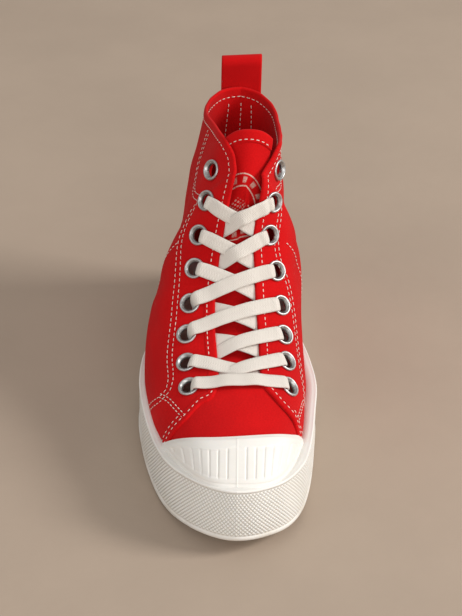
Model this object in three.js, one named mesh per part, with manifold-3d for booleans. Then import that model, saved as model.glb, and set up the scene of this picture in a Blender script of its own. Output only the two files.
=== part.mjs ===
// Canvas high-top sneaker, right shoe, laced and empty. Millimetres, +Z up.
// The toe points to -Y and the heel to +Y, +X is the medial side. The origin is the middle of the
// shoe's footprint on the floor. Distances along the shoe are "back", measured from the toe tip.
import * as THREE from 'three';
import { mergeVertices } from 'three/addons/utils/BufferGeometryUtils.js';
import Module from 'manifold-3d';

const wasm = await Module();
wasm.setup();

// ---------------------------------------------------------------- driving sizes
const LENGTH = 270;          // toe tip to heel, over the rubber
const GAP = 0.3;             // clearance between pieces that touch
const WALL = 2;              // canvas, lining and the paste between them
const TOE_SPRING = 9;        // lift of the sole at the toe tip
const SPRING_START = 60;     // the sole leaves the floor this far behind the tip
const TREAD_DEPTH = 2;
const LIP_TOP = 4.5;         // top of the outsole's edge
const DECK = 13;             // top of the outsole inside the foxing
const FOXING_HEIGHT = 30;    // top of the rubber side wall
const BUMPER_RISE = 8;       // how much higher the wall is at the toe
const CAP_PROUD = 2.2;       // outer face of the rubber toe cap over the canvas
const CAP_EDGE = { back: 91.5, slope: 1.05, skew: 0.08 };  // rear edge of the cap: back + slope·z − skew·x
const INSOLE_THICK = 4;
const TONGUE_DEPTH = 5.2;    // outer face of the tongue below the upper's outer face
const TONGUE_THICK = 2;
const EYELET = { flange: 6, hole: 3.2, barrel: 3.8, seat: 4.2, proud: 0.7, thick: 1.1, depth: 2.6 };
const LACE = { width: 8, thick: 1.2, over: 0.9, under: 3.4, clear: 3, tuck: 4 };
const LOOP = { width: 23, top: 159, foot: 116, tape: 1.5, gap: 6.2, ease: 0.8 };

// Outsole edge seen from above: X of both edges at each distance back from the toe tip.
const OUTLINE = [
  { back: 0, lateral: 5, medial: 5 },
  { back: 6, lateral: -10, medial: 21.5 },
  { back: 16, lateral: -20.2, medial: 32.1 },
  { back: 34, lateral: -31.5, medial: 40.3 },
  { back: 60, lateral: -40.7, medial: 45.8 },
  { back: 90, lateral: -47.2, medial: 48.7 },
  { back: 118, lateral: -50, medial: 50 },
  { back: 140, lateral: -48.8, medial: 47.2 },
  { back: 165, lateral: -43, medial: 42.2 },
  { back: 190, lateral: -37.5, medial: 38.8 },
  { back: 215, lateral: -34, medial: 37.2 },
  { back: 240, lateral: -30.5, medial: 34 },
  { back: 258, lateral: -20.5, medial: 24.5 },
  { back: 266, lateral: -10.5, medial: 14.5 },
  { back: 270, lateral: 2.3, medial: 2.3 },
];

// Ribs of the upper, one row each, from the toe tip round to the heel seam. A rib runs from the
// sole edge at "foot" to its top: the centre ridge in rows 0 to 12, the collar in rows 13 to 18.
// "rise" and "lean" aim the rib's lower end, "reach", "fall" and "sweep" its upper end.
const RIBS = [
  { foot: 0, back: 9.4, topL: 22.5, topM: 22.5, xL: 5, xM: 5, rise: 0, leanL: 0, leanM: 0, reachL: 0, reachM: 0, fall: 0, sweep: 0 },
  { foot: 3, back: 10.6, topL: 30.5, topM: 30.5, xL: 5, xM: 5, rise: 8, leanL: 0, leanM: 0, reachL: 9, reachM: 9, fall: 0, sweep: 0 },
  { foot: 8, back: 13.2, topL: 37, topM: 37, xL: 5, xM: 5, rise: 15, leanL: 0, leanM: 0, reachL: 16, reachM: 16, fall: 0, sweep: 0 },
  { foot: 18, back: 18.8, topL: 42.6, topM: 42.6, xL: 5, xM: 5, rise: 20, leanL: 0.02, leanM: 0.02, reachL: 22, reachM: 22, fall: 0, sweep: 0 },
  { foot: 36, back: 31, topL: 48.2, topM: 48.2, xL: 4.6, xM: 4.6, rise: 24, leanL: 0.05, leanM: 0.03, reachL: 26, reachM: 25, fall: 0, sweep: 0 },
  { foot: 58, back: 49, topL: 52.6, topM: 52.6, xL: 4.2, xM: 4.2, rise: 28, leanL: 0.12, leanM: 0.01, reachL: 29, reachM: 26, fall: 0.5, sweep: 0 },
  { foot: 82, back: 72, topL: 56.5, topM: 56.5, xL: 4, xM: 4, rise: 33, leanL: 0.15, leanM: 0, reachL: 33, reachM: 29, fall: 0.7, sweep: 0 },
  { foot: 104, back: 96, topL: 63.8, topM: 63.8, xL: 3.4, xM: 3.4, rise: 38, leanL: 0.18, leanM: 0, reachL: 35, reachM: 31, fall: 1, sweep: 0 },
  { foot: 126, back: 117.5, topL: 76, topM: 76, xL: 3, xM: 3, rise: 47, leanL: 0.21, leanM: 0.03, reachL: 35, reachM: 32, fall: 2, sweep: 1 },
  { foot: 147, back: 133.5, topL: 93, topM: 93, xL: 3.4, xM: 3.4, rise: 58, leanL: 0.22, leanM: 0.1, reachL: 35, reachM: 32, fall: 4.5, sweep: 3 },
  { foot: 165, back: 144.5, topL: 111.5, topM: 111.5, xL: 5.2, xM: 5.2, rise: 68, leanL: 0.22, leanM: 0.19, reachL: 35, reachM: 29, fall: 8, sweep: 5 },
  { foot: 181, back: 151, topL: 131, topM: 131, xL: 8.6, xM: 8.6, rise: 72, leanL: 0.19, leanM: 0.26, reachL: 33, reachM: 21, fall: 13, sweep: 6 },
  { foot: 194, back: 155.5, topL: 149.5, topM: 149.5, xL: 11.5, xM: 11.5, rise: 73, leanL: 0.14, leanM: 0.26, reachL: 28, reachM: 11, fall: 21, sweep: 7 },
  { foot: 206, back: 173, topL: 153, topM: 149, xL: -4, xM: 25, rise: 72, leanL: 0.12, leanM: 0.14, reachL: 13, reachM: -2, fall: 33, sweep: 6 },
  { foot: 219, back: 197, topL: 149.6, topM: 142.8, xL: -10.8, xM: 27.7, rise: 71, leanL: 0.09, leanM: 0.07, reachL: 8, reachM: -2, fall: 39, sweep: 2 },
  { foot: 233, back: 221, topL: 144.2, topM: 138.8, xL: -15.4, xM: 26.8, rise: 71, leanL: 0.06, leanM: 0.04, reachL: 7, reachM: 3, fall: 40, sweep: 0 },
  { foot: 247, back: 242, topL: 141, topM: 138.5, xL: -14, xM: 24, rise: 68, leanL: 0.03, leanM: 0, reachL: 7, reachM: 4, fall: 41, sweep: -3 },
  { foot: 261, back: 257, topL: 140.4, topM: 139.2, xL: -6.5, xM: 16, rise: 65, leanL: 0.02, leanM: 0, reachL: 5, reachM: 3, fall: 41, sweep: -5 },
  { foot: 270, back: 262, topL: 140.3, topM: 140.3, xL: 5.1, xM: 5.1, rise: 66, leanL: 0, leanM: 0, reachL: 0, reachM: 0, fall: 42, sweep: -6 },
];
const LAST_RIB = RIBS.length - 1;
const RIDGE_END = 12;

// Throat opening: how far down each rib the edge of the upper lies.
const THROAT = [
  { rib: 6.15, lateral: 0, medial: 0 },
  { rib: 6.2, lateral: 5, medial: 6 },
  { rib: 6.35, lateral: 8.5, medial: 11 },
  { rib: 6.6, lateral: 9.5, medial: 13 },
  { rib: 7.5, lateral: 10.8, medial: 13 },
  { rib: 8.25, lateral: 11.2, medial: 11.7 },
  { rib: 9.1, lateral: 10.6, medial: 10.4 },
  { rib: 9.9, lateral: 10, medial: 8.2 },
  { rib: 10.9, lateral: 11, medial: 9.1 },
  { rib: 12, lateral: 14, medial: 13 },
  { rib: 12.3, lateral: 10.5, medial: 13 },
  { rib: 12.6, lateral: 5, medial: 10 },
  { rib: 13, lateral: 0, medial: 3 },
  { rib: 13.3, lateral: 0, medial: 0 },
];

const THROAT_FULL = 6.6;     // the throat is at its full width from this rib up

// Eyelets from the ankle down to the toe: rib and distance down it on each side.
const EYELETS = [
  { ribL: 12.7, downL: 24.5, ribM: 12.95, downM: 18.5 },
  { ribL: 11.33, downL: 31, ribM: 11.23, downM: 21.5 },
  { ribL: 10.12, downL: 26.4, ribM: 10.1, downM: 18.8 },
  { ribL: 9.18, downL: 25.2, ribM: 9.2, downM: 24.5 },
  { ribL: 8.3, downL: 26.2, ribM: 8.38, downM: 27.8 },
  { ribL: 7.54, downL: 27.6, ribM: 7.66, downM: 29.2 },
  { ribL: 6.8, downL: 27.6, ribM: 7, downM: 30.6 },
  { ribL: 6.1, downL: 26.4, ribM: 6.3, downM: 32 },
];

// Lacing between a row and the next one down. The strand to the lateral eyelet lies on top. It
// starts over the medial flap and the other strand ends under it; the lateral flap varies.
const CROSSINGS = [
  { row: 2, upperOverLateral: false, lowerOverLateral: true },
  { row: 3, upperOverLateral: false, lowerOverLateral: true },
  { row: 4, upperOverLateral: true, lowerOverLateral: true },
  { row: 5, upperOverLateral: true, lowerOverLateral: false },
  { row: 6, upperOverLateral: false, lowerOverLateral: false },
  { row: 7, upperOverLateral: false, lowerOverLateral: true },
];

const MATERIALS = {
  canvas: new THREE.MeshStandardMaterial({ color: 0xb80f12, roughness: 0.9, metalness: 0 }),
  rubber: new THREE.MeshStandardMaterial({ color: 0xe6e2da, roughness: 0.6, metalness: 0 }),
  lining: new THREE.MeshStandardMaterial({ color: 0xd8cdb8, roughness: 0.95, metalness: 0 }),
  lace: new THREE.MeshStandardMaterial({ color: 0xe8e0d2, roughness: 0.95, metalness: 0 }),
  metal: new THREE.MeshStandardMaterial({ color: 0xb9bcbc, roughness: 0.35, metalness: 1 }),
};

// ---------------------------------------------------------------- curves through the tables

const point = (x, back, z) => new THREE.Vector3(x, back - LENGTH / 2, z);
const LATERAL = -1;
const MEDIAL = 1;

// Smooth curve through one column of a table, with slopes taken from the neighbouring rows.
function smooth(knots, values, at) {
  const last = knots.length - 1;
  const slope = (i) => (values[i + 1] - values[i]) / (knots[i + 1] - knots[i]);
  const tangent = (i) => {
    if (i === 0) return 1.5 * slope(0) - 0.5 * tangent(1);
    if (i === last) return 1.5 * slope(last - 1) - 0.5 * tangent(last - 1);
    const before = knots[i] - knots[i - 1];
    const after = knots[i + 1] - knots[i];
    return (slope(i - 1) * after + slope(i) * before) / (before + after);
  };
  let i = knots.findIndex((knot) => knot > at) - 1;
  if (i < 0) i = at < knots[0] ? 0 : last - 1;
  const width = knots[i + 1] - knots[i];
  const t = (at - knots[i]) / width;
  const start = values[i] * (2 * t ** 3 - 3 * t ** 2 + 1) + tangent(i) * width * (t ** 3 - 2 * t ** 2 + t);
  return start + values[i + 1] * (3 * t ** 2 - 2 * t ** 3) + tangent(i + 1) * width * (t ** 3 - t ** 2);
}

// Stations round the outline are angles, 0 at the toe tip and PI at the heel, so both ends are round.
const angleAt = (back) => Math.acos(1 - (2 * back) / LENGTH);
const backAt = (angle) => (LENGTH / 2) * (1 - Math.cos(angle));
const OUTLINE_ANGLES = OUTLINE.map((row) => angleAt(row.back));
const RIB_NUMBERS = RIBS.map((row, i) => i);
const FOOT_ANGLES = RIBS.map((row) => angleAt(row.foot));

const edgeX = (side, angle) =>
  smooth(OUTLINE_ANGLES, OUTLINE.map((row) => (side === LATERAL ? row.lateral : row.medial)), angle);

// Point of the outline moved inwards, square to it.
function outline(side, angle, inset, z = 0) {
  const step = 1e-4;
  const low = Math.max(angle - step, 0);
  const high = Math.min(angle + step, Math.PI);
  const along = new THREE.Vector2(edgeX(side, high) - edgeX(side, low), backAt(high) - backAt(low)).normalize();
  if (angle < step) along.set(side, 0);
  if (angle > Math.PI - step) along.set(-side, 0);
  return point(edgeX(side, angle) - inset * side * along.y, backAt(angle) + inset * side * along.x, z);
}

const nearToe = (back, reach) => Math.max(0, 1 - back / reach);
const lift = (back) => TOE_SPRING * nearToe(back, SPRING_START) ** 1.6;
const deckHeight = (back) => DECK + 0.9 * lift(back);
const foxingTop = (back) => FOXING_HEIGHT + BUMPER_RISE * nearToe(back, 62) ** 1.1;

// 1 at the middle of the foot, fading to nothing at toe and heel.
const midfoot = (back) => ((4 * back * (LENGTH - back)) / LENGTH ** 2) ** 3;

// How far the canvas stands inside the outsole's edge where it meets the deck.
function footInset(side, back) {
  const heel = 0.8 * Math.max(0, (back - 235) / 35);
  return 4.4 + 4.4 * nearToe(back, 75) + (side === LATERAL ? 1 : 1.4) * midfoot(back) + heel;
}

// One rib of the upper's outer face, from the deck to the ridge or the collar.
function ribCurve(side, rib) {
  const end = side === LATERAL ? 'L' : 'M';
  const column = (name) => smooth(RIB_NUMBERS, RIBS.map((row) => row[name]), rib);
  const angle = smooth(RIB_NUMBERS, FOOT_ANGLES, Math.min(rib, LAST_RIB));
  const foot = outline(side, angle, footInset(side, backAt(angle)));
  foot.z = deckHeight(foot.y + LENGTH / 2) + GAP;
  const shared = rib <= RIDGE_END;
  const x = shared ? (column('xL') + column('xM')) / 2 : column('x' + end);
  const height = shared ? (column('topL') + column('topM')) / 2 : column('top' + end);
  const top = point(x, column('back'), height);
  const rise = column('rise');
  const lower = foot.clone().add(new THREE.Vector3(side * column('lean' + end) * rise, 0, rise));
  const upper = top.clone().add(new THREE.Vector3(side * column('reach' + end), column('sweep'), -column('fall')));
  return new THREE.CubicBezierCurve3(foot, lower, upper, top);
}

const ribCache = new Map();
function ribAt(side, rib) {
  const key = side + ':' + rib.toFixed(4);
  if (!ribCache.has(key)) ribCache.set(key, ribCurve(side, rib));
  return ribCache.get(key);
}

// Point of the upper's outer face: "down" is measured along the rib from its top.
function downRib(side, rib, down) {
  const curve = ribAt(side, rib);
  return curve.getPointAt(Math.min(1, Math.max(0, 1 - down / curve.getLength())));
}

// Signed distance across the instep: negative on the lateral side of the ridge.
const across = (rib, offset) => (offset < 0 ? downRib(LATERAL, rib, -offset) : downRib(MEDIAL, rib, offset));

// Place and outward direction on the upper's outer face.
function faceAt(rib, offset) {
  const alongStep = 0.06;
  const acrossStep = 2;
  const along = across(rib + alongStep, offset).sub(across(rib - alongStep, offset));
  const sideways = across(rib, offset + acrossStep).sub(across(rib, offset - acrossStep));
  return { place: across(rib, offset), outward: sideways.cross(along).normalize() };
}

const throatEdge = (side, rib) =>
  rib <= THROAT[0].rib || rib >= THROAT.at(-1).rib
    ? 0
    : Math.max(0, smooth(THROAT.map((row) => row.rib), THROAT.map((row) => (side === LATERAL ? row.lateral : row.medial)), rib));

// ---------------------------------------------------------------- meshes

// Joins patches, each a grid of points in rows, into one surface with shared points.
function weld(patches) {
  const points = [];
  const faces = [];
  const seen = new Map();
  const index = (p) => {
    const key = [p.x, p.y, p.z].map((v) => Math.round(v * 2000)).join();
    if (!seen.has(key)) seen.set(key, points.push(p.clone()) - 1);
    return seen.get(key);
  };
  const face = (a, b, c) => {
    if (a !== b && b !== c && a !== c) faces.push([a, b, c]);
  };
  for (const { rows, flip } of patches) {
    const grid = rows.map((row) => row.map(index));
    for (let i = 0; i + 1 < grid.length; i++) {
      for (let j = 0; j + 1 < grid[i].length; j++) {
        const [a, b, c, d] = [grid[i][j], grid[i + 1][j], grid[i + 1][j + 1], grid[i][j + 1]];
        if (flip) {
          face(a, c, b);
          face(a, d, c);
        } else {
          face(a, b, c);
          face(a, c, d);
        }
      }
    }
  }
  return { points, faces };
}

function vertexNormals({ points, faces }) {
  const normals = points.map(() => new THREE.Vector3());
  for (const [a, b, c] of faces) {
    const normal = points[b].clone().sub(points[a]).cross(points[c].clone().sub(points[a]));
    for (const i of [a, b, c]) normals[i].add(normal);
  }
  return normals.map((normal) => normal.normalize());
}

// Directed edges that only one face uses.
function openEdges(faces) {
  const edges = new Map();
  for (const [a, b, c] of faces) {
    for (const [from, to] of [[a, b], [b, c], [c, a]]) edges.set(from + ',' + to, [from, to]);
  }
  return [...edges.values()].filter(([from, to]) => !edges.has(to + ',' + from));
}

function offsetPoints(surface, distance) {
  const normals = vertexNormals(surface);
  return surface.points.map((p, i) => p.clone().addScaledVector(normals[i], distance));
}

// Closed wall between two offsets of an open surface.
function wall(surface, outer, inner) {
  const count = surface.points.length;
  const points = [...offsetPoints(surface, outer), ...offsetPoints(surface, inner)];
  const faces = [...surface.faces];
  for (const [a, b, c] of surface.faces) faces.push([a + count, c + count, b + count]);
  for (const [from, to] of openEdges(surface.faces)) {
    faces.push([to, from, from + count], [to, from + count, to + count]);
  }
  return { points, faces };
}

// Closes every open loop of a surface with a fan to the loop's middle.
function capped({ points, faces }) {
  const next = new Map(openEdges(faces));
  const closed = { points: [...points], faces: [...faces] };
  while (next.size > 0) {
    const loop = [];
    let at = next.keys().next().value;
    while (next.has(at)) {
      loop.push(at);
      const to = next.get(at);
      next.delete(at);
      at = to;
    }
    const middle = new THREE.Vector3();
    for (const i of loop) middle.addScaledVector(points[i], 1 / loop.length);
    const hub = closed.points.push(middle) - 1;
    loop.forEach((from, i) => closed.faces.push([loop[(i + 1) % loop.length], from, hub]));
  }
  return closed;
}

function toSolid({ points, faces }) {
  const vertProperties = new Float32Array(points.flatMap((p) => [p.x, p.y, p.z]));
  return new wasm.Manifold(new wasm.Mesh({ numProp: 3, vertProperties, triVerts: new Uint32Array(faces.flat()) }));
}

function geometryToSolid(geometry) {
  const bare = geometry.clone();
  bare.deleteAttribute('normal');
  bare.deleteAttribute('uv');
  const merged = mergeVertices(bare, 1e-4);
  const triVerts = new Uint32Array(merged.index.array);
  return new wasm.Manifold(new wasm.Mesh({ numProp: 3, vertProperties: merged.attributes.position.array, triVerts }));
}

function toGeometry(solid) {
  const { vertProperties, triVerts } = solid.getMesh();
  const geometry = new THREE.BufferGeometry();
  geometry.setAttribute('position', new THREE.BufferAttribute(new Float32Array(vertProperties), 3));
  geometry.setIndex(new THREE.BufferAttribute(new Uint32Array(triVerts), 1));
  geometry.computeVertexNormals();
  return geometry;
}

const shoe = new THREE.Group();
function add(name, solid, material) {
  const mesh = new THREE.Mesh(toGeometry(solid), material);
  mesh.name = name;
  shoe.add(mesh);
}

// ---------------------------------------------------------------- sole

const SOLE_STEPS = 38;
const SOLE_ANGLES = Array.from({ length: SOLE_STEPS + 1 }, (unused, i) => (Math.PI * i) / SOLE_STEPS);

// Solid stacked from outlines, bottom to top: each level has an inset and a height along the shoe.
function stacked(levels) {
  const edge = (side, { inset, height }) =>
    SOLE_ANGLES.map((angle) => {
      const back = backAt(angle);
      const p = outline(side, angle, typeof inset === 'number' ? inset : inset(side, back));
      p.z = height(p.y + LENGTH / 2);
      return p;
    });
  const lateral = levels.map((level) => edge(LATERAL, level));
  const medial = levels.map((level) => edge(MEDIAL, level));
  const top = levels.length - 1;
  const ladder = (level) => SOLE_ANGLES.map((angle, i) => [lateral[level][i], medial[level][i]]);
  return toSolid(weld([
    { rows: lateral, flip: false },
    { rows: medial, flip: true },
    { rows: ladder(0), flip: false },
    { rows: ladder(top), flip: true },
  ]));
}

const above = (height) => (back) => lift(back) + height;

// Transverse channel across the tread, between the two rims.
function channel(back, width) {
  const box = new THREE.BoxGeometry(LENGTH, width, 2 * TREAD_DEPTH);
  box.translate(0, back - LENGTH / 2, lift(back));
  return geometryToSolid(box);
}

function outsole() {
  const core = (side, back) => footInset(side, back);
  const body = stacked([
    { inset: 0.8, height: above(0) },
    { inset: 0, height: above(0.9) },
    { inset: 0, height: above(LIP_TOP - 0.9) },
    { inset: 0.6, height: above(LIP_TOP) },
    { inset: core, height: above(LIP_TOP) },
    { inset: core, height: deckHeight },
  ]);
  const treadArea = stacked([
    { inset: 7, height: above(-6) },
    { inset: 7, height: above(3) },
  ]);
  const pitch = 9;
  const channels = [];
  for (let back = 24; back < 252; back += pitch) {
    const underArch = back > 136 && back < 186;
    if (!underArch) channels.push(channel(back, 3));
  }
  return body.subtract(wasm.Manifold.union(channels).intersect(treadArea));
}

// ---------------------------------------------------------------- upper

const spread = (from, to, step) => Array.from({ length: Math.round((to - from) / step) + 1 }, (unused, i) => from + i * step);
const RIB_STATIONS = [
  ...spread(0, 1, 0.25),
  ...spread(1.5, 6, 0.5),
  6.15, 6.2, 6.35, 6.6,
  ...spread(7, 11.5, 0.5),
  12, 12.3, 12.6, 12.8,
  ...spread(13, 18, 0.5),
];
const UP_STEPS = 7;

// Open grid of the outer face on one side, from the deck up to a given distance from the rib tops.
const sideRows = (side, stations, edge) =>
  stations.map((rib) => {
    const curve = ribAt(side, rib);
    const end = 1 - edge(side, rib) / curve.getLength();
    return spread(0, UP_STEPS, 1).map((j) => curve.getPointAt((end * j) / UP_STEPS));
  });

const outerFace = (edge, extra = []) => [
  { rows: sideRows(LATERAL, RIB_STATIONS, edge), flip: true },
  { rows: sideRows(MEDIAL, RIB_STATIONS, edge), flip: false },
  ...extra,
];

// The filled shape of the upper, grown by an offset and carried straight down through the sole.
function lastForm(offset) {
  const skirt = (side) => RIB_STATIONS.map((rib) => {
    const foot = ribAt(side, rib).getPointAt(0);
    return [foot.clone().setZ(-20), foot];
  });
  const surface = weld(outerFace(() => 0, [
    { rows: skirt(LATERAL), flip: true },
    { rows: skirt(MEDIAL), flip: false },
  ]));
  return toSolid(capped({ points: offsetPoints(surface, offset), faces: surface.faces }));
}

function holesAt(radius) {
  const drills = [];
  for (const { place, outward } of eyeletPlaces()) {
    const drill = new THREE.CylinderGeometry(radius, radius, 12, 12);
    drill.applyQuaternion(new THREE.Quaternion().setFromUnitVectors(new THREE.Vector3(0, 1, 0), outward));
    drill.translate(place.x, place.y, place.z);
    drills.push(geometryToSolid(drill));
  }
  return wasm.Manifold.union(drills);
}

function eyeletPlaces() {
  return EYELETS.flatMap((row, i) => [
    { name: 'eyelet_lateral_' + (i + 1), ...faceAt(row.ribL, -row.downL) },
    { name: 'eyelet_medial_' + (i + 1), ...faceAt(row.ribM, row.downM) },
  ]);
}

function upper() {
  const shell = wall(weld(outerFace(throatEdge)), 0, -WALL);
  const floor = (p) => deckHeight(p.y + LENGTH / 2) + GAP;
  for (const p of shell.points) p.z = Math.max(p.z, floor(p));
  return toSolid(shell).subtract(holesAt(EYELET.seat));
}

// ---------------------------------------------------------------- foxing, toe cap, insole

const wallInset = (side, back) => 1.25 - 0.7 * midfoot(back) + 6.2 * nearToe(back, 42) ** 1.2;

// Filled shape of the rubber wall round the shoe, with its raised lip along the top.
function foxingForm(bottom, grow) {
  const part = (share) => (side, back) => 1 + (wallInset(side, back) - 1) * share - grow;
  const heightAt = (share) => (back) => lift(back) + LIP_TOP + (foxingTop(back) - lift(back) - LIP_TOP) * share;
  return stacked([
    { inset: part(0), height: (back) => lift(back) + bottom },
    { inset: part(0.35), height: heightAt(0.55) },
    { inset: part(1), height: (back) => foxingTop(back) - 1.2 + grow },
    { inset: (side, back) => part(1)(side, back) + 0.9, height: (back) => foxingTop(back) + grow },
  ]);
}

function foxing() {
  const around = (side, back) => footInset(side, back) - GAP;
  const core = stacked([
    { inset: around, height: above(0) },
    { inset: around, height: (back) => deckHeight(back) + 1 },
  ]);
  return foxingForm(LIP_TOP + GAP, 0).subtract(lastForm(GAP)).subtract(core);
}

function toeCap() {
  const { back, slope, skew } = CAP_EDGE;
  const outward = new THREE.Vector3(-skew, 1, slope).normalize();
  const front = new THREE.BoxGeometry(2 * LENGTH, LENGTH, 2 * LENGTH);
  front.translate(0, -LENGTH / 2, 0);
  front.applyQuaternion(new THREE.Quaternion().setFromUnitVectors(new THREE.Vector3(0, 1, 0), outward));
  front.translate(0, back - LENGTH / 2, 0);
  const skin = lastForm(CAP_PROUD).subtract(lastForm(GAP));
  const lower = stacked([
    { inset: -GAP, height: () => -LENGTH },
    { inset: -GAP, height: (at) => foxingTop(at) + GAP },
  ]);
  return skin.intersect(geometryToSolid(front)).subtract(lower);
}

function insole() {
  const sink = (side, back) => footInset(side, back) + WALL + 0.8;
  const slab = stacked([
    { inset: sink, height: (back) => deckHeight(back) + GAP },
    { inset: sink, height: (back) => deckHeight(back) + GAP + INSOLE_THICK - 1 },
    { inset: (side, back) => sink(side, back) + 1, height: (back) => deckHeight(back) + GAP + INSOLE_THICK },
  ]);
  return slab.intersect(lastForm(-WALL - 0.6));
}

// ---------------------------------------------------------------- tongue

// Width of the tongue under the flaps: how far it reaches down each side of the rib.
const TONGUE_ROWS = [
  { rib: 5.7, reach: 21 },
  { rib: 7, reach: 25 },
  { rib: 9, reach: 25 },
  { rib: 11, reach: 17.5 },
];
// Above the flaps the rows are free: middle, half width, and how far the sides drop and bow back.
const TONGUE_TOP = [
  { x: 8.2, back: 161, height: 137, half: 11.6, droop: 10, bow: 6 },
  { x: 8.6, back: 167, height: 147.5, half: 11.8, droop: 7, bow: 5 },
  { x: 9.2, back: 173, height: 158, half: 12.3, droop: 3.5, bow: 4 },
];

function tongue() {
  const ribs = TONGUE_ROWS.map((row) => row.rib);
  const reach = (rib) => smooth(ribs, TONGUE_ROWS.map((row) => row.reach), rib);
  const shares = spread(-1, 1, 0.25);
  const below = spread(ribs[0], 10.7, 0.5).map((rib) => shares.map((share) => {
    const { place, outward } = faceAt(rib, share * reach(rib));
    return place.addScaledVector(outward, -TONGUE_DEPTH);
  }));
  const above = TONGUE_TOP.map(({ x, back, height, half, droop, bow }) => shares.map((share) =>
    point(x + share * half, back + bow * share ** 2, height - droop * share ** 2)));
  return toSolid(wall(weld([{ rows: [...below, ...above], flip: true }]), 0, -TONGUE_THICK));
}

// ---------------------------------------------------------------- pull loop

// Tape folded over at the top, both ends sewn down on the heel seam.
function pullLoop() {
  const heel = (z) => {
    const curve = ribAt(LATERAL, LAST_RIB);
    const height = Math.min(z, curve.v3.z);
    let low = 0;
    let high = 1;
    for (let i = 0; i < 30; i++) {
      const middle = (low + high) / 2;
      if (curve.getPoint(middle).z < height) low = middle;
      else high = middle;
    }
    return curve.getPoint(low).y + LOOP.ease;
  };
  const middleX = ribAt(LATERAL, LAST_RIB).v3.x;
  const depth = 2 * LOOP.tape + LOOP.gap;
  const crotch = 136;
  const front = spread(LOOP.foot, crotch, 4).map((z) => [heel(z), z]);
  const frontY = heel(crotch);
  const radius = depth / 2;
  const arc = (r, from, to) => spread(from, to, (to - from) / 8).map((a) =>
    [frontY + radius - r * Math.cos(a), LOOP.top - radius + r * Math.sin(a)]);
  const outside = [
    ...front,
    ...arc(radius, 0, Math.PI),
    [frontY + depth, crotch + 2],
    ...spread(LOOP.foot, crotch - 4, 4).reverse().map((z) => [heel(z) + 2 * LOOP.tape, z]),
  ];
  const shape = new THREE.Shape(outside.map(([y, z]) => new THREE.Vector2(y, z)));
  const bore = radius - LOOP.tape;
  const inside = [...arc(bore, 0, Math.PI), [frontY + radius + bore, crotch + 4], [frontY + radius - bore, crotch + 2]];
  shape.holes.push(new THREE.Path(inside.reverse().map(([y, z]) => new THREE.Vector2(y, z))));
  const tape = new THREE.ExtrudeGeometry(shape, { depth: LOOP.width, bevelEnabled: false });
  tape.rotateX(Math.PI / 2);
  tape.rotateZ(Math.PI / 2);
  tape.translate(middleX - LOOP.width / 2, 0, 0);
  return geometryToSolid(tape);
}

// ---------------------------------------------------------------- eyelets and lace

// Rolled ring with a short barrel through the canvas, turned about the Y axis.
function eyeletProfile() {
  const { flange, hole, barrel, proud, thick, depth } = EYELET;
  return [
    [hole, -depth],
    [barrel, -depth],
    [barrel, proud],
    [flange, proud],
    [flange - 0.4, proud + thick * 0.7],
    [(flange + hole) / 2, proud + thick],
    [hole, proud + thick * 0.5],
    [hole, -depth],
  ].map(([r, h]) => new THREE.Vector2(r, h));
}

function eyelet({ place, outward }) {
  const ring = new THREE.LatheGeometry(eyeletProfile(), 12);
  ring.applyQuaternion(new THREE.Quaternion().setFromUnitVectors(new THREE.Vector3(0, 1, 0), outward));
  ring.translate(place.x, place.y, place.z);
  return geometryToSolid(ring);
}

const STRAND_STEPS = 11;

// Flat lace between two places given as rib, offset and height over the upper's outer face.
function strand(path) {
  const column = (name, t) => smooth(path.map((p) => p.t), path.map((p) => p[name]), t);
  const places = spread(0, 1, 1 / STRAND_STEPS).map((t) => {
    const { place, outward } = faceAt(column('rib', t), column('offset', t));
    return { centre: place.addScaledVector(outward, column('height', t)), outward };
  });
  const half = LACE.width / 2;
  const section = [[-half, 0], [-half + 0.8, 0.5], [half - 0.8, 0.5], [half, 0], [half - 0.8, -0.5], [-half + 0.8, -0.5]];
  const rows = places.map(({ centre, outward }, i) => {
    const before = places[Math.max(i - 1, 0)].centre;
    const after = places[Math.min(i + 1, places.length - 1)].centre;
    const sideways = outward.clone().cross(after.clone().sub(before)).normalize();
    return [...section, section[0]].map(([across, up]) =>
      centre.clone().addScaledVector(sideways, across).addScaledVector(outward, up * LACE.thick));
  });
  return toSolid(capped(weld([{ rows, flip: false }])));
}

const eyeletSpot = (row, side) => {
  const { ribL, downL, ribM, downM } = EYELETS[row - 1];
  return side === LATERAL ? { rib: ribL, offset: -downL } : { rib: ribM, offset: downM };
};
const OVER_EYELET = EYELET.proud + EYELET.thick + 1.3 * LACE.over + LACE.thick / 2;
const OVER_FLAP = LACE.over + LACE.thick / 2 + 0.3;
const UNDER_FLAP = -LACE.under;

// Path of a strand from one eyelet to another. At either end it lies on the flap up to the
// eyelet, or slips under the flap and stops there, out of sight.
function strandPath(start, end, middleHeight) {
  const run = end.offset - start.offset;
  const shareAt = (offset) => (offset - start.offset) / run;
  const legs = [start, end].map(({ rib, offset, over }) => {
    const side = Math.sign(offset);
    const edge = side * throatEdge(side, Math.max(rib, THROAT_FULL));
    const insideThroat = { t: shareAt(edge - side * LACE.clear), height: over ? OVER_FLAP : UNDER_FLAP };
    if (!over) return [{ t: shareAt(edge + side * LACE.tuck), height: UNDER_FLAP }, insideThroat];
    return [
      { t: shareAt(offset - side), height: OVER_EYELET },
      { t: shareAt(offset - side * (EYELET.flange + 1)), height: OVER_EYELET },
      insideThroat,
    ];
  });
  const knots = [...legs[0], { t: 0.5, height: middleHeight }, ...legs[1].reverse()];
  const first = knots[0].t;
  const span = knots.at(-1).t - first;
  return knots.map(({ t, height }) => ({
    t: (t - first) / span,
    height,
    rib: THREE.MathUtils.lerp(start.rib, end.rib, t),
    offset: THREE.MathUtils.lerp(start.offset, end.offset, t),
  }));
}

const eyeletEnd = (row, side, over) => ({ ...eyeletSpot(row, side), over });

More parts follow.
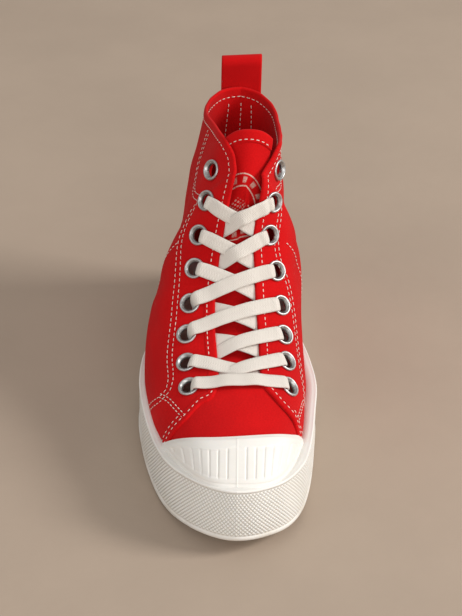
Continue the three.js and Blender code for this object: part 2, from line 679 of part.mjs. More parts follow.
function crossing({ row, upperOverLateral, lowerOverLateral }) {
  const top = strandPath(eyeletEnd(row, MEDIAL, true), eyeletEnd(row + 1, LATERAL, upperOverLateral), 0.7);
  const low = strandPath(eyeletEnd(row, LATERAL, lowerOverLateral), eyeletEnd(row + 1, MEDIAL, false), -0.4);
  return strand(top).add(strand(low));
}

const bar = (row) => strand(strandPath(eyeletEnd(row, LATERAL, true), eyeletEnd(row, MEDIAL, true), OVER_FLAP + 0.6));

// ---------------------------------------------------------------- assembly

add('outsole', outsole(), MATERIALS.rubber);
add('foxing', foxing(), MATERIALS.rubber);
add('toe_cap', toeCap(), MATERIALS.rubber);
add('upper', upper(), MATERIALS.canvas);
add('insole', insole(), MATERIALS.lining);
add('tongue', tongue(), MATERIALS.canvas);
add('pull_loop', pullLoop(), MATERIALS.canvas);
for (const place of eyeletPlaces()) add(place.name, eyelet(place), MATERIALS.metal);
for (const row of CROSSINGS) add('lace_crossing_' + row.row, crossing(row), MATERIALS.lace);
add('lace_bar_8', bar(EYELETS.length), MATERIALS.lace);

export default shoe;
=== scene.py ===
"""Canvas high-top sneaker, right shoe: visible pieces, finishes, floor, light and camera.

Shapes are worked out in millimetres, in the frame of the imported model: toe towards -Y, heel towards
+Y, +X is the medial side. "Back" is the distance behind the toe tip. A rib is a line over the upper
from the sole edge to the top, numbered 0 at the toe tip to 18 at the heel seam, and a place on the
upper is a rib number with the distance down that rib from its top.
"""
import bmesh
import bpy
import numpy as np
from mathutils import Matrix, Vector


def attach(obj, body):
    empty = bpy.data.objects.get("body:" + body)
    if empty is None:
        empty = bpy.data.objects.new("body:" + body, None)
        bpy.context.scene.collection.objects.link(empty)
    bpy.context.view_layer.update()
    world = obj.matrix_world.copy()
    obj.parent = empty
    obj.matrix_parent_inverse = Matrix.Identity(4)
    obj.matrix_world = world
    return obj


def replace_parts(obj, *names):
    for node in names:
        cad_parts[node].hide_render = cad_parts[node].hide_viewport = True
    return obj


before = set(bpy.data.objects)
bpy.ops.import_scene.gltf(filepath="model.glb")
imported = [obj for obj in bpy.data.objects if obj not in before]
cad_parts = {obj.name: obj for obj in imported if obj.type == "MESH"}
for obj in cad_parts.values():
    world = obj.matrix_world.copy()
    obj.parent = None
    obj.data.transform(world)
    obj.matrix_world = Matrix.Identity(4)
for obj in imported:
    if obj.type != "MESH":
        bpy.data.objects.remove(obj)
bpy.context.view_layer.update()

MM = 0.001
LATERAL, MEDIAL = -1, 1

# ------------------------------------------------------------------ driving sizes, mm
LENGTH = 270.0
TOE_SPRING, SPRING_START = 9.0, 60.0
LIP_TOP = 4.5
DECK = 13.3
FOXING_HEIGHT = 30.0
WALL = 2.0
FOLD = 6.0              # width of the folded edge round collar and throat
EDGE_STITCH = 4.4       # stitch line this far inside a folded edge
RIM = 1.1               # a sheet's half-round edge stands this far beyond its border
VAMP_SINK = 0.8         # the vamp lies this far under the quarters' outer face
CAP_PROUD = 2.0
EYELET_FLANGE, EYELET_HOLE, EYELET_PROUD = 5.9, 3.9, 0.7
EYELET_SHIFT = 0.8      # the rings sit this much nearer the throat than the listed places
HOLE_MARGIN = 0.5       # the hole in the cloth has a radius this much larger than the ring's
LACE_WIDTH, LACE_THICK = 8.2, 1.3
MM_PER_RIB = 20.0

OUTLINE_COLUMNS = "back lateral medial"
OUTLINE = np.array([
    [0, 5, 5], [6, -10, 21.5], [16, -20.2, 32.1], [34, -31.5, 40.3], [60, -40.7, 45.8],
    [90, -47.2, 48.7], [118, -50, 50], [140, -48.8, 47.2], [165, -43, 42.2], [190, -37.5, 38.8],
    [215, -34, 37.2], [240, -30.5, 34], [258, -20.5, 24.5], [266, -10.5, 14.5], [270, 2.3, 2.3]])

RIB_COLUMNS = "foot back topL topM xL xM rise leanL leanM reachL reachM fall sweep"
RIBS = np.array([
    [0, 9.4, 22.5, 22.5, 5, 5, 0, 0, 0, 0, 0, 0, 0],
    [3, 10.6, 30.5, 30.5, 5, 5, 8, 0, 0, 9, 9, 0, 0],
    [8, 13.2, 37, 37, 5, 5, 15, 0, 0, 16, 16, 0, 0],
    [18, 18.8, 42.6, 42.6, 5, 5, 20, 0.02, 0.02, 22, 22, 0, 0],
    [36, 31, 48.2, 48.2, 4.6, 4.6, 24, 0.05, 0.03, 26, 25, 0, 0],
    [58, 49, 52.6, 52.6, 4.2, 4.2, 28, 0.12, 0.01, 29, 26, 0.5, 0],
    [82, 72, 56.5, 56.5, 4, 4, 33, 0.15, 0, 33, 29, 0.7, 0],
    [104, 96, 63.8, 63.8, 3.4, 3.4, 38, 0.18, 0, 35, 31, 1, 0],
    [126, 117.5, 76, 76, 3, 3, 47, 0.21, 0.03, 35, 32, 2, 1],
    [147, 133.5, 93, 93, 3.4, 3.4, 58, 0.22, 0.1, 35, 32, 4.5, 3],
    [165, 144.5, 111.5, 111.5, 5.2, 5.2, 68, 0.22, 0.19, 35, 29, 8, 5],
    [181, 151, 131, 131, 8.6, 8.6, 72, 0.19, 0.26, 33, 21, 13, 6],
    [194, 155.5, 149.5, 149.5, 11.5, 11.5, 73, 0.14, 0.26, 28, 11, 21, 7],
    [206, 173, 153, 149, -4, 25, 72, 0.12, 0.14, 13, -2, 33, 6],
    [219, 197, 149.6, 142.8, -10.8, 27.7, 71, 0.09, 0.07, 8, -2, 39, 2],
    [233, 221, 144.2, 138.8, -15.4, 26.8, 71, 0.06, 0.04, 7, 3, 40, 0],
    [247, 242, 141, 138.5, -14, 24, 68, 0.03, 0, 7, 4, 41, -3],
    [261, 257, 140.4, 139.2, -6.5, 16, 65, 0.02, 0, 5, 3, 41, -5],
    [270, 262, 140.3, 140.3, 5.1, 5.1, 66, 0, 0, 0, 0, 42, -6]])
RIDGE_END = 12
LAST_RIB = len(RIBS) - 1

THROAT_COLUMNS = "rib lateral medial"
THROAT = np.array([
    [6.6, 9.2, 13.4], [7.5, 10.8, 13], [8.25, 11.2, 11.7], [9.1, 10.6, 10.4], [9.9, 10, 8.2],
    [10.9, 11, 9.1], [11.6, 12.6, 11.4], [12, 13.6, 12.7], [12.3, 10.5, 12], [12.6, 5, 9],
    [13, 0.6, 3], [13.3, 0, 0]])

# Front edge of each quarter, from the throat down to the sole: rib and distance down it.
FRONT_EDGE = {
    LATERAL: np.array([[6.25, 9.2], [5.82, 12.4], [5.54, 19.6], [5.12, 28.2], [4.86, 38], [4.8, 60]]),
    MEDIAL: np.array([[6.25, 13.4], [6.0, 17.4], [5.64, 24.4], [5.34, 36], [5.18, 44], [5.1, 60]]),
}

# Eyelets from the ankle down to the toe: lateral rib and distance down it, then medial rib and distance.
EYELETS = np.array([
    [12.7, 24.5, 12.95, 18.5], [11.33, 31, 11.23, 21.5], [10.12, 26.4, 10.1, 18.8],
    [9.18, 25.2, 9.2, 24.5], [8.3, 26.2, 8.38, 27.8], [7.54, 27.6, 7.66, 29.2],
    [6.8, 27.6, 7, 30.6], [6.1, 26.4, 6.3, 32]])

# Lacing between a row and the next one down: does the upper strand end over the lateral flap, does
# the lower strand start over it, and how far does each sag below a straight line, in rows?
CROSSINGS = [(2, False, True, 0.4, 0.3), (3, False, True, 0.36, 0.28), (4, True, True, 0.08, 0.16),
             (5, True, False, 0.03, 0.1), (6, False, False, 0.03, 0.08), (7, False, True, 0.03, 0.05)]

# ------------------------------------------------------------------ curves through the tables


def column(table, names, name):
    """The named column of a table."""
    return table[:, names.split().index(name)]


def smooth(knots, values, at):
    """Cubic through the knots, each slope a distance-weighted mean of its two neighbours' slopes."""
    knots = np.asarray(knots, float)
    values = np.asarray(values, float)
    width = np.diff(knots)
    slope = np.diff(values) / width
    tangent = np.empty(len(knots))
    tangent[1:-1] = (slope[:-1] * width[1:] + slope[1:] * width[:-1]) / (width[:-1] + width[1:])
    tangent[0] = 1.5 * slope[0] - 0.5 * tangent[1]
    tangent[-1] = 1.5 * slope[-1] - 0.5 * tangent[-2]
    at = np.asarray(at, float)
    i = np.clip(np.searchsorted(knots, at, side="right") - 1, 0, len(knots) - 2)
    t = (at - knots[i]) / width[i]
    return (values[i] * (2 * t**3 - 3 * t**2 + 1) + tangent[i] * width[i] * (t**3 - 2 * t**2 + t)
            + values[i + 1] * (3 * t**2 - 2 * t**3) + tangent[i + 1] * width[i] * (t**3 - t**2))


def step(x, low, high):
    """0 below low, 1 above high, a smooth cubic between."""
    t = np.clip((x - low) / (high - low), 0, 1)
    return t * t * (3 - 2 * t)


def ridge(x, width):
    """Bell of height 1 and the given half width round x = 0."""
    return np.exp(-(x / width) ** 2)


def unit(v):
    """Vectors along the last axis, scaled to length 1."""
    return v / (np.linalg.norm(v, axis=-1, keepdims=True) + 1e-12)


def angle_at(back):
    """Station angle, 0 at the toe tip and pi at the heel, of a distance behind the toe tip."""
    return np.arccos(np.clip(1 - 2 * np.asarray(back, float) / LENGTH, -1, 1))


def back_at(angle):
    return LENGTH / 2 * (1 - np.cos(angle))


def edge_x(side, angle):
    name = "lateral" if side == LATERAL else "medial"
    return smooth(angle_at(column(OUTLINE, OUTLINE_COLUMNS, "back")),
                  column(OUTLINE, OUTLINE_COLUMNS, name), angle)


def outline(side, angle, inset):
    """Point (x, back) of the sole's outline at a station angle, moved inwards, square to the edge."""
    angle = np.asarray(angle, float)
    low, high = np.maximum(angle - 1e-4, 0), np.minimum(angle + 1e-4, np.pi)
    along = unit(np.stack([edge_x(side, high) - edge_x(side, low), back_at(high) - back_at(low)], -1))
    along = np.where((angle < 1e-4)[..., None], [side, 0], along)
    along = np.where((angle > np.pi - 1e-4)[..., None], [-side, 0], along)
    return (edge_x(side, angle) - inset * side * along[..., 1],
            back_at(angle) + inset * side * along[..., 0])


def near_toe(back, reach):
    return np.maximum(0, 1 - back / reach)


def lift(back):
    return TOE_SPRING * near_toe(back, SPRING_START) ** 1.6


def foxing_top(back):
    return FOXING_HEIGHT + 8 * near_toe(back, 62) ** 1.1


def midfoot(back):
    return np.maximum(4 * back * (LENGTH - back) / LENGTH**2, 0) ** 3


def foot_inset(side, back):
    """How far the canvas stands inside the outsole's edge where it meets the sole."""
    waist = (1.0 if side == LATERAL else 1.4) * midfoot(back)
    return 4.4 + 4.4 * near_toe(back, 75) + waist + 0.8 * np.maximum(0, (back - 235) / 35)


def row_xyz(x, back, z):
    """(x, back, z) in the row's own frame."""
    return np.stack(np.broadcast_arrays(x, back - LENGTH / 2, z), -1)


# ------------------------------------------------------------------ the upper as a surface


def rib_controls(side, rib):
    """The four control points of each rib's cubic Bezier curve, from the sole edge to the top."""
    numbers = np.arange(len(RIBS))

    def value(name):
        return smooth(numbers, column(RIBS, RIB_COLUMNS, name), rib)

    end = "L" if side == LATERAL else "M"
    angle = np.clip(smooth(numbers, angle_at(column(RIBS, RIB_COLUMNS, "foot")), rib), 0, np.pi)
    x, back = outline(side, angle, foot_inset(side, back_at(angle)))
    foot = row_xyz(x, back, DECK + 0.9 * lift(back))
    shared = rib <= RIDGE_END
    top_x = np.where(shared, (value("xL") + value("xM")) / 2, value("x" + end))
    top_z = np.where(shared, (value("topL") + value("topM")) / 2, value("top" + end))
    top = row_xyz(top_x, value("back"), top_z)
    rise, reach = value("rise"), value("reach" + end)
    lower = foot + np.stack([side * value("lean" + end) * rise, 0 * rise, rise], -1)
    upper = top + np.stack([side * reach, value("sweep"), -value("fall")], -1)
    return np.stack([foot, lower, upper, top], -2)


def bezier(controls, t):
    """Cubic Bezier: the controls weighted by (1-t)^3, 3t(1-t)^2, 3t^2(1-t) and t^3."""
    s = 1 - t
    weights = np.stack([s**3, 3 * t * s**2, 3 * t**2 * s, t**3], -1)
    return (weights[..., None] * controls[..., None, :, :]).sum(-2)


def rib_length(side, rib):
    samples = bezier(rib_controls(side, rib), np.linspace(0, 1, 41))
    return np.linalg.norm(np.diff(samples, axis=-2), axis=-1).sum(-1)


def on_side(side, rib, down):
    """Point of the outer face: the curve parameter is read off the arc length, then the curve."""
    rib, down = np.broadcast_arrays(np.asarray(rib, float), np.asarray(down, float))
    controls = rib_controls(side, rib)
    t = np.linspace(0, 1, 41)
    samples = bezier(controls, t)
    lengths = np.linalg.norm(np.diff(samples, axis=-2), axis=-1)
    lengths = np.concatenate([np.zeros(rib.shape + (1,)), np.cumsum(lengths, -1)], -1)
    wanted = lengths[..., -1] - down
    i = np.clip((lengths <= wanted[..., None]).sum(-1) - 1, 0, 39)
    before = np.take_along_axis(lengths, i[..., None], -1)[..., 0]
    after = np.take_along_axis(lengths, i[..., None] + 1, -1)[..., 0]
    share = t[i] + (wanted - before) / (after - before + 1e-9) * t[1]
    return bezier(controls, share[..., None])[..., 0, :]


def across(rib, offset):
    """Point of the outer face at a signed distance over the instep, negative on the lateral side."""
    rib, offset = np.broadcast_arrays(np.asarray(rib, float), np.asarray(offset, float))
    lateral = (offset < 0)[..., None]
    return np.where(lateral, on_side(LATERAL, rib, -offset), on_side(MEDIAL, rib, offset))


def face_at(rib, offset):
    """Places on the outer face with their outward directions, from differences 0.06 rib and 2 mm wide."""
    along = across(rib + 0.06, offset) - across(rib - 0.06, offset)
    sideways = across(rib, offset + 2) - across(rib, offset - 2)
    return across(rib, offset), unit(np.cross(sideways, along))


def side_at(side, rib, down):
    """The same on one side only, where the rib's top is an open edge."""
    high = np.minimum(rib + 0.06, 18)
    along = on_side(side, high, down) - on_side(side, high - 0.12, down)
    lower = on_side(side, rib, down + 1) - on_side(side, rib, np.maximum(down - 1, 0))
    return on_side(side, rib, down), unit(np.cross(lower, along)) * side


def throat_edge(side, rib):
    """How far down its rib the upper's edge lies, 0 along the collar."""
    name = "lateral" if side == LATERAL else "medial"
    knots = column(THROAT, THROAT_COLUMNS, "rib")
    edge = smooth(knots, column(THROAT, THROAT_COLUMNS, name), np.clip(rib, knots[0], knots[-1]))
    return np.maximum(edge, 0)


# ------------------------------------------------------------------ meshes


def piece(name, points, quads, uv, material, triangles=None):
    """Mesh object at the origin from points in mm, faces as arrays of indices and uv in mm."""
    faces = [quads.reshape(-1)]
    totals = [np.full(len(quads), 4)]
    if triangles is not None:
        faces.append(triangles.reshape(-1))
        totals.append(np.full(len(triangles), 3))
    corners = np.concatenate(faces).astype(np.int32)
    totals = np.concatenate(totals)
    mesh = bpy.data.meshes.new(name)
    mesh.vertices.add(len(points))
    mesh.vertices.foreach_set("co", (np.asarray(points) * MM).astype(np.float32).ravel())
    mesh.loops.add(len(corners))
    mesh.loops.foreach_set("vertex_index", corners)
    mesh.polygons.add(len(totals))
    mesh.polygons.foreach_set("loop_start", np.concatenate([[0], np.cumsum(totals)[:-1]]))
    mesh.polygons.foreach_set("use_smooth", np.full(len(totals), True))
    layer = mesh.uv_layers.new(name="cloth")
    layer.data.foreach_set("uv", np.asarray(uv, np.float32)[corners].ravel())
    mesh.materials.append(material)
    mesh.update(calc_edges=True)
    mesh.validate()
    made = bpy.data.objects.new(name, mesh)
    bpy.context.scene.collection.objects.link(made)
    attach(made, "root")
    return made


def grid_quads(rows, columns, wrap_rows=False, wrap_columns=False):
    """Quads of a grid of vertices numbered row by row, joined round in either direction."""
    i = np.arange(rows if wrap_rows else rows - 1)[:, None]
    j = np.arange(columns if wrap_columns else columns - 1)[None, :]
    i, j = np.broadcast_arrays(i, j)
    k, m = (i + 1) % rows, (j + 1) % columns
    return np.stack([i * columns + j, k * columns + j, k * columns + m, i * columns + m], -1).reshape(-1, 4)


def grid_normals(points):
    """Unit normals of a grid: the row direction crossed with the column direction."""
    return unit(np.cross(np.gradient(points, axis=0), np.gradient(points, axis=1)))


def turned_to(normals, at, direction):
    """The normals, all reversed if the one at a grid place points away from a direction."""
    return -normals if np.sum(normals[at] * direction) < 0 else normals


def arc_length(path):
    """Length along a line up to each of its points."""
    return np.concatenate([[0], np.cumsum(np.linalg.norm(np.diff(path, axis=0), axis=1))])


def distances(points, axis):
    """Length along a grid from its first row or column."""
    steps = np.linalg.norm(np.diff(points, axis=axis), axis=-1)
    return np.concatenate([np.zeros_like(np.take(steps, [0], axis)), np.cumsum(steps, axis)], axis)


def sheet(points, normals, top, bottom, uv, rim=5):
    """Closed sheet between two offsets of a grid, with a half-round rim between their borders.

    The rim at a border point is centre + radius * (normal * cos a + outward * sin a), a from 0 to pi.
    """
    rows, columns = points.shape[:2]
    outer = points + normals * np.asarray(top)[..., None]
    inner = points + normals * np.asarray(bottom)[..., None]
    index = np.arange(rows * columns).reshape(rows, columns)
    border = np.concatenate([index[0, :-1], index[:-1, -1], index[-1, :0:-1], index[:0:-1, 0]])
    edge = points.reshape(-1, 3)[border]
    normal = normals.reshape(-1, 3)[border]
    along = np.roll(edge, -1, 0) - np.roll(edge, 1, 0)
    outward = unit(np.cross(along, normal))
    middle_row = points.reshape(-1, 3)[index[1, columns // 2]]
    flip = np.sum(outward[columns // 2] * (edge[columns // 2] - middle_row)) < 0
    outward = -outward if flip else outward
    high, low = outer.reshape(-1, 3)[border], inner.reshape(-1, 3)[border]
    centre, radius = (high + low) / 2, np.linalg.norm(high - low, axis=-1, keepdims=True) / 2
    turns = np.linspace(0, np.pi, rim + 2)[1:-1, None, None]
    rings = centre + radius * (normal * np.cos(turns) + outward * np.sin(turns))
    count = rows * columns
    vertices = np.concatenate([outer.reshape(-1, 3), inner.reshape(-1, 3), rings.reshape(-1, 3)])
    flat_uv = uv.reshape(-1, 2)
    all_uv = np.concatenate([flat_uv, flat_uv, np.tile(flat_uv[border], (rim, 1))])
    face = grid_quads(rows, columns)
    ring_index = 2 * count + np.arange(rim * len(border)).reshape(rim, -1)
    ladder = np.concatenate([border[None], ring_index, count + border[None]])
    nxt = np.roll(ladder, -1, 1)
    sides = np.stack([ladder[:-1], ladder[1:], nxt[1:], nxt[:-1]], -1).reshape(-1, 4)
    return vertices, np.concatenate([face, face[:, ::-1] + count, sides]), all_uv


def outward_faces(made):
    """Turns every face of a closed mesh outwards."""
    work = bmesh.new()
    work.from_mesh(made.data)
    bmesh.ops.recalc_face_normals(work, faces=work.faces)
    work.to_mesh(made.data)
    work.free()
    return made


def sheet_piece(name, points, normals, top, bottom, uv, material, rim=5):
    """The same as an object; a single number as its bottom holds all over."""
    bottom = np.broadcast_to(bottom, points.shape[:2])
    vertices, quads, all_uv = sheet(points, normals, top, bottom, np.stack(uv, -1), rim)
    return outward_faces(piece(name, vertices, quads, all_uv, material))


def sweep(path, up, profile):
    """Profile (across, up) carried along a path: centre + across * side + height * up, side = up x run.

    Returns vertices, quads and uv in mm: distance along the path, distance round the profile.
    """
    run = unit(np.gradient(path, axis=0))
    side = unit(np.cross(up, run))
    up = unit(np.cross(run, side))
    profile = np.broadcast_to(profile, (len(path),) + profile.shape[-2:])
    ring = (path[:, None] + profile[..., :1] * side[:, None] + profile[..., 1:] * up[:, None])
    rows, columns = ring.shape[:2]
    vertices = ring.reshape(-1, 3)
    quads = grid_quads(rows, columns, wrap_columns=True)
    along = arc_length(path)
    uv = np.stack([np.broadcast_to(along[:, None], (rows, columns)), profile[..., 0]], -1)
    caps = np.array([[0, i, i + 1] for i in range(1, columns - 1)])
    triangles = np.concatenate([caps[:, ::-1], caps + (rows - 1) * columns])
    return vertices, quads, uv.reshape(-1, 2), triangles


def joined(parts):
    """Several (vertices, quads, uv, triangles) as one."""
    start, out = 0, ([], [], [], [])
    for vertices, quads, uv, triangles in parts:
        out[0].append(vertices)
        out[1].append(quads + start)
        out[2].append(uv)
        out[3].append(triangles + start)
        start += len(vertices)
    return [np.concatenate(part) for part in out]


def resampled(path, count):
    """The same line with evenly spaced points."""
    at = arc_length(path)
    even = np.linspace(0, at[-1], count)
    return np.stack([np.interp(even, at, path[:, k]) for k in range(path.shape[1])], -1)


# ------------------------------------------------------------------ shader expressions


class Value:
    """A socket of a material's node tree. Operators on values add its Math nodes."""

    def __init__(self, tree, socket):
        self.tree = tree
        self.socket = socket

    def node(self, kind, settings=(), **inputs):
        """Any node: its type, then its settings, then the values or links of its sockets."""
        made = self.tree.nodes.new(kind)
        for name, value in dict(settings).items():
            setattr(made, name, value)
        for name, value in inputs.items():
            name = name.replace("_", " ")
            keys = [k for k in made.inputs if k.name == name and k.enabled]
            socket = keys[0] if keys else made.inputs[int(name.split()[-1])]
            if isinstance(value, Value):
                self.tree.links.new(value.socket, socket)
            else:
                socket.default_value = value
        return made

    def out(self, made, name=0):
        outs = [o for o in made.outputs if o.enabled]
        socket = outs[name] if isinstance(name, int) else made.outputs[name]
        return Value(self.tree, socket)

    def math(self, operation, other=None):
        made = self.tree.nodes.new("ShaderNodeMath")
        made.operation = operation
        for k, value in enumerate((self, other)):
            if isinstance(value, Value):
                self.tree.links.new(value.socket, made.inputs[k])
            elif value is not None:
                made.inputs[k].default_value = value
        return Value(self.tree, made.outputs[0])

    def __add__(self, other):
        return self.math("ADD", other)

    __radd__ = __add__

    def __mul__(self, other):
        return self.math("MULTIPLY", other)

    __rmul__ = __mul__

    def __sub__(self, other):
        return self.math("SUBTRACT", other)

    def __rsub__(self, other):
        return (self * -1.0).math("ADD", other)

    def sine(self):
        return self.math("SINE")

    def absolute(self):
        return self.math("ABSOLUTE")

    def power(self, exponent):
        return self.math("POWER", exponent)

    def above(self, low, high):
        """0 below low, 1 above high, smooth between."""
        made = self.node("ShaderNodeMapRange", {"interpolation_type": "SMOOTHSTEP"}, Value=self,
                         From_Min=low, From_Max=high)
        return self.out(made)


class Finish:
    """One material: its shader and the places and patterns that it reads."""

    def __init__(self, name, roughness, **fixed):
        self.material = bpy.data.materials.new(name)
        self.material.use_nodes = True
        self.tree = self.material.node_tree
        self.shader = self.tree.nodes["Principled BSDF"]
        self.start = Value(self.tree, None)
        self.shader.inputs["Roughness"].default_value = roughness
        for key, value in fixed.items():
            self.shader.inputs[key.replace("_", " ")].default_value = value

    def place(self, kind="Object"):
        made = self.start.node("ShaderNodeTexCoord")
        return Value(self.tree, made.outputs[kind])

    def split(self, vector):
        made = self.start.node("ShaderNodeSeparateXYZ", Vector=vector)
        return [Value(self.tree, socket) for socket in made.outputs]

    def noise(self, vector, scale, detail=3.0, roughness=0.55):
        made = self.start.node("ShaderNodeTexNoise", Vector=vector, Scale=scale, Detail=detail,
                               Roughness=roughness)
        return Value(self.tree, made.outputs["Fac"])

    def mix(self, factor, first, second):
        """Colour between two colours."""
        made = self.tree.nodes.new("ShaderNodeMix")
        made.data_type = "RGBA"
        for socket, value in ((made.inputs[0], factor), (made.inputs[6], first), (made.inputs[7], second)):
            if isinstance(value, Value):
                self.tree.links.new(value.socket, socket)
            elif isinstance(value, tuple):
                socket.default_value = (*value, 1.0)
            else:
                socket.default_value = value
        return Value(self.tree, made.outputs[2])

    def colour(self, value):
        self.tree.links.new(value.socket, self.shader.inputs["Base Color"])

    def vary(self, name, value):
        self.tree.links.new(value.socket, self.shader.inputs[name])

    def bump(self, height, depth_mm):
        made = self.start.node("ShaderNodeBump", Strength=1.0, Distance=depth_mm * MM, Height=height)
        self.tree.links.new(made.outputs["Normal"], self.shader.inputs["Normal"])


# ------------------------------------------------------------------ finishes

CANVAS_RED = (0.66, 0.006, 0.007)
CANVAS_DARK = (0.44, 0.003, 0.004)
RUBBER_WHITE = (0.80, 0.78, 0.74)
LACE_CREAM = (0.82, 0.77, 0.71)
THREAD_WHITE = (0.85, 0.78, 0.70)


def canvas(name, base=CANVAS_RED, dark=CANVAS_DARK, pitch=0.75, print_on=None):
    """Plain weave: warp and weft are sine waves of the cloth's own uv, with slubs and soft shading."""
    made = Finish(name, 0.92, Sheen_Weight=0.03, Sheen_Roughness=0.5, Specular_IOR_Level=0.08)
    u, v, _ = made.split(made.place("UV"))
    turns = 2 * np.pi / pitch
    warp, weft = (u * turns).sine(), (v * turns).sine()
    weave = warp * weft * 0.5 + 0.5
    cloth = made.noise(made.place("UV"), 0.9, 2.0)
    patches = made.noise(made.place(), 28.0, 3.0)
    tone = (weave * 0.22 + cloth * 0.35 + patches * 0.55).above(0.3, 0.95)
    colour = made.mix(tone, dark, base)
    if print_on:
        colour = print_on(made, u, v, colour)
    made.colour(colour)
    made.bump(weave * 0.7 + cloth * 0.8, 0.12)
    return made.material


def tongue_print(made, u, v, colour):
    """Two thin rings with plain dashes between them and a plain diamond of dots inside."""
    x, y = u - PRINT_CENTRE[0], v - PRINT_CENTRE[1]
    radius = (x * x + y * y).power(0.5)
    angle = y.math("ARCTAN2", x)

    def line(distance, half):
        return 1 - distance.absolute().above(half * 0.6, half * 1.4)

    rings = line(radius - PRINT_RADIUS, 0.35).math("MAXIMUM", line(radius - 0.66 * PRINT_RADIUS, 0.35))
    dashes = line(radius - 0.83 * PRINT_RADIUS, 1.5) * ((angle * 18).sine()).above(0.1, 0.5)
    diamond = 1 - (x.absolute() + y.absolute()).above(6.5, 7.3)
    dots = ((x * 2.6).sine() * (y * 2.6).sine()).above(0.1, 0.5) * diamond
    worn = made.noise(made.place("UV"), 1.6, 3.0).above(0.38, 0.55) * 0.6 + 0.4
    ink = rings.math("MAXIMUM", dashes * 0.75).math("MAXIMUM", dots * 0.8) * worn
    return made.mix(ink, colour, (0.66, 0.50, 0.42))


def rubber(name, grime=0.35, diamond_groove_shade=False):
    """Matt off-white rubber with faint mottling, a little dust near the floor, and painted shade in the
    grooves between the wall's diamonds.
    """
    made = Finish(name, 0.52, Specular_IOR_Level=0.4, Subsurface_Weight=0.06)
    made.shader.inputs["Subsurface Radius"].default_value = (0.004, 0.003, 0.002)
    cloud = made.noise(made.place(), 60.0, 4.0)
    fine = made.noise(made.place(), 900.0, 2.0)
    _, _, height = made.split(made.place())
    low = (1 - height.above(0.002, 0.022)) * cloud.above(0.35, 0.75) * grime
    colour = made.mix(cloud.above(0.2, 0.8), (0.76, 0.735, 0.69), RUBBER_WHITE)
    colour = made.mix(low, colour, (0.52, 0.46, 0.37))
    if diamond_groove_shade:
        u, v, _ = made.split(made.place("UV"))
        # Painted shade: the valleys between the diamond pyramids are coloured darker, standing in for the
        # shade that falls in them.
        p, q = [2 * (0.5 - (phase.math("FRACT") - 0.5).absolute()) for phase in (u + v, u - v)]
        groove = (1 - p.math("MINIMUM", q)).above(0.62, 0.98) * 0.75
        colour = made.mix(groove, colour, (0.50, 0.46, 0.39))
    made.colour(colour)
    made.vary("Roughness", cloud * 0.2 + 0.42)
    made.bump(fine * 0.6 + cloud * 0.4, 0.05)
    return made.material


def lace_cloth():
    """Flat herringbone braid: slanted waves along the lace that turn back at its middle and edges."""
    made = Finish("lace_braid", 0.9, Sheen_Weight=0.2, Specular_IOR_Level=0.2)
    u, v, _ = made.split(made.place("UV"))
    fold = (v * (2 * np.pi / 2.7)).sine().math("ARCSINE") * 0.9
    braid = (u * (2 * np.pi / 0.95) + fold * 2.2).sine() * 0.5 + 0.5
    ribs = (v * (2 * np.pi / 0.68)).sine() * 0.5 + 0.5
    fuzz = made.noise(made.place("UV"), 1.3, 3.0)
    tone = (braid * 0.35 + ribs * 0.25 + fuzz * 0.6).above(0.2, 0.95)
    made.colour(made.mix(tone, (0.62, 0.56, 0.49), LACE_CREAM))
    made.bump(braid * 0.6 + ribs * 0.3 + fuzz * 0.5, 0.3)
    return made.material


def nickel():
    """Satin plated metal with fine brushing."""
    made = Finish("eyelet_nickel", 0.28, Metallic=1.0)
    fine = made.noise(made.place(), 700.0, 3.0)
    made.colour(made.mix(fine.above(0.3, 0.8), (0.42, 0.42, 0.42), (0.60, 0.60, 0.59)))
    made.vary("Roughness", fine * 0.2 + 0.34)
    made.bump(fine, 0.03)
    return made.material


def thread():
    """Twisted cotton thread: slanting strands along each stitch."""
    made = Finish("stitch_thread", 0.8, Sheen_Weight=0.15)
    u, v, _ = made.split(made.place("UV"))
    twist = (u * 7.0 + v * 5.0).sine() * 0.5 + 0.5
    made.colour(made.mix(twist, (0.70, 0.60, 0.52), THREAD_WHITE))
    made.bump(twist, 0.08)
    return made.material


def footbed():
    """Pale cotton drill: diagonal twill lines with worn patches."""
    made = Finish("footbed_drill", 0.93, Specular_IOR_Level=0.2)
    u, v, _ = made.split(made.place("UV"))
    twill = ((u + v) * 7.0).sine() * 0.5 + 0.5
    worn = made.noise(made.place(), 45.0, 4.0)
    tone = (twill * 0.4 + worn * 0.6).above(0.25, 0.8)
    made.colour(made.mix(tone, (0.52, 0.44, 0.36), (0.74, 0.67, 0.58)))
    made.bump(twill * 0.6 + worn * 0.4, 0.12)
    return made.material


def plaster(name, base):
    """Pale plain floor with faint mottling."""
    made = Finish(name, 0.85, Specular_IOR_Level=0.2)
    cloud = made.noise(made.place(), 9.0, 4.0)
    made.colour(made.mix(cloud.above(0.3, 0.7), tuple(0.94 * c for c in base), base))
    made.bump(made.noise(made.place(), 120.0, 3.0), 0.15)
    return made.material


# ------------------------------------------------------------------ upper: vamp, quarters, heel strip

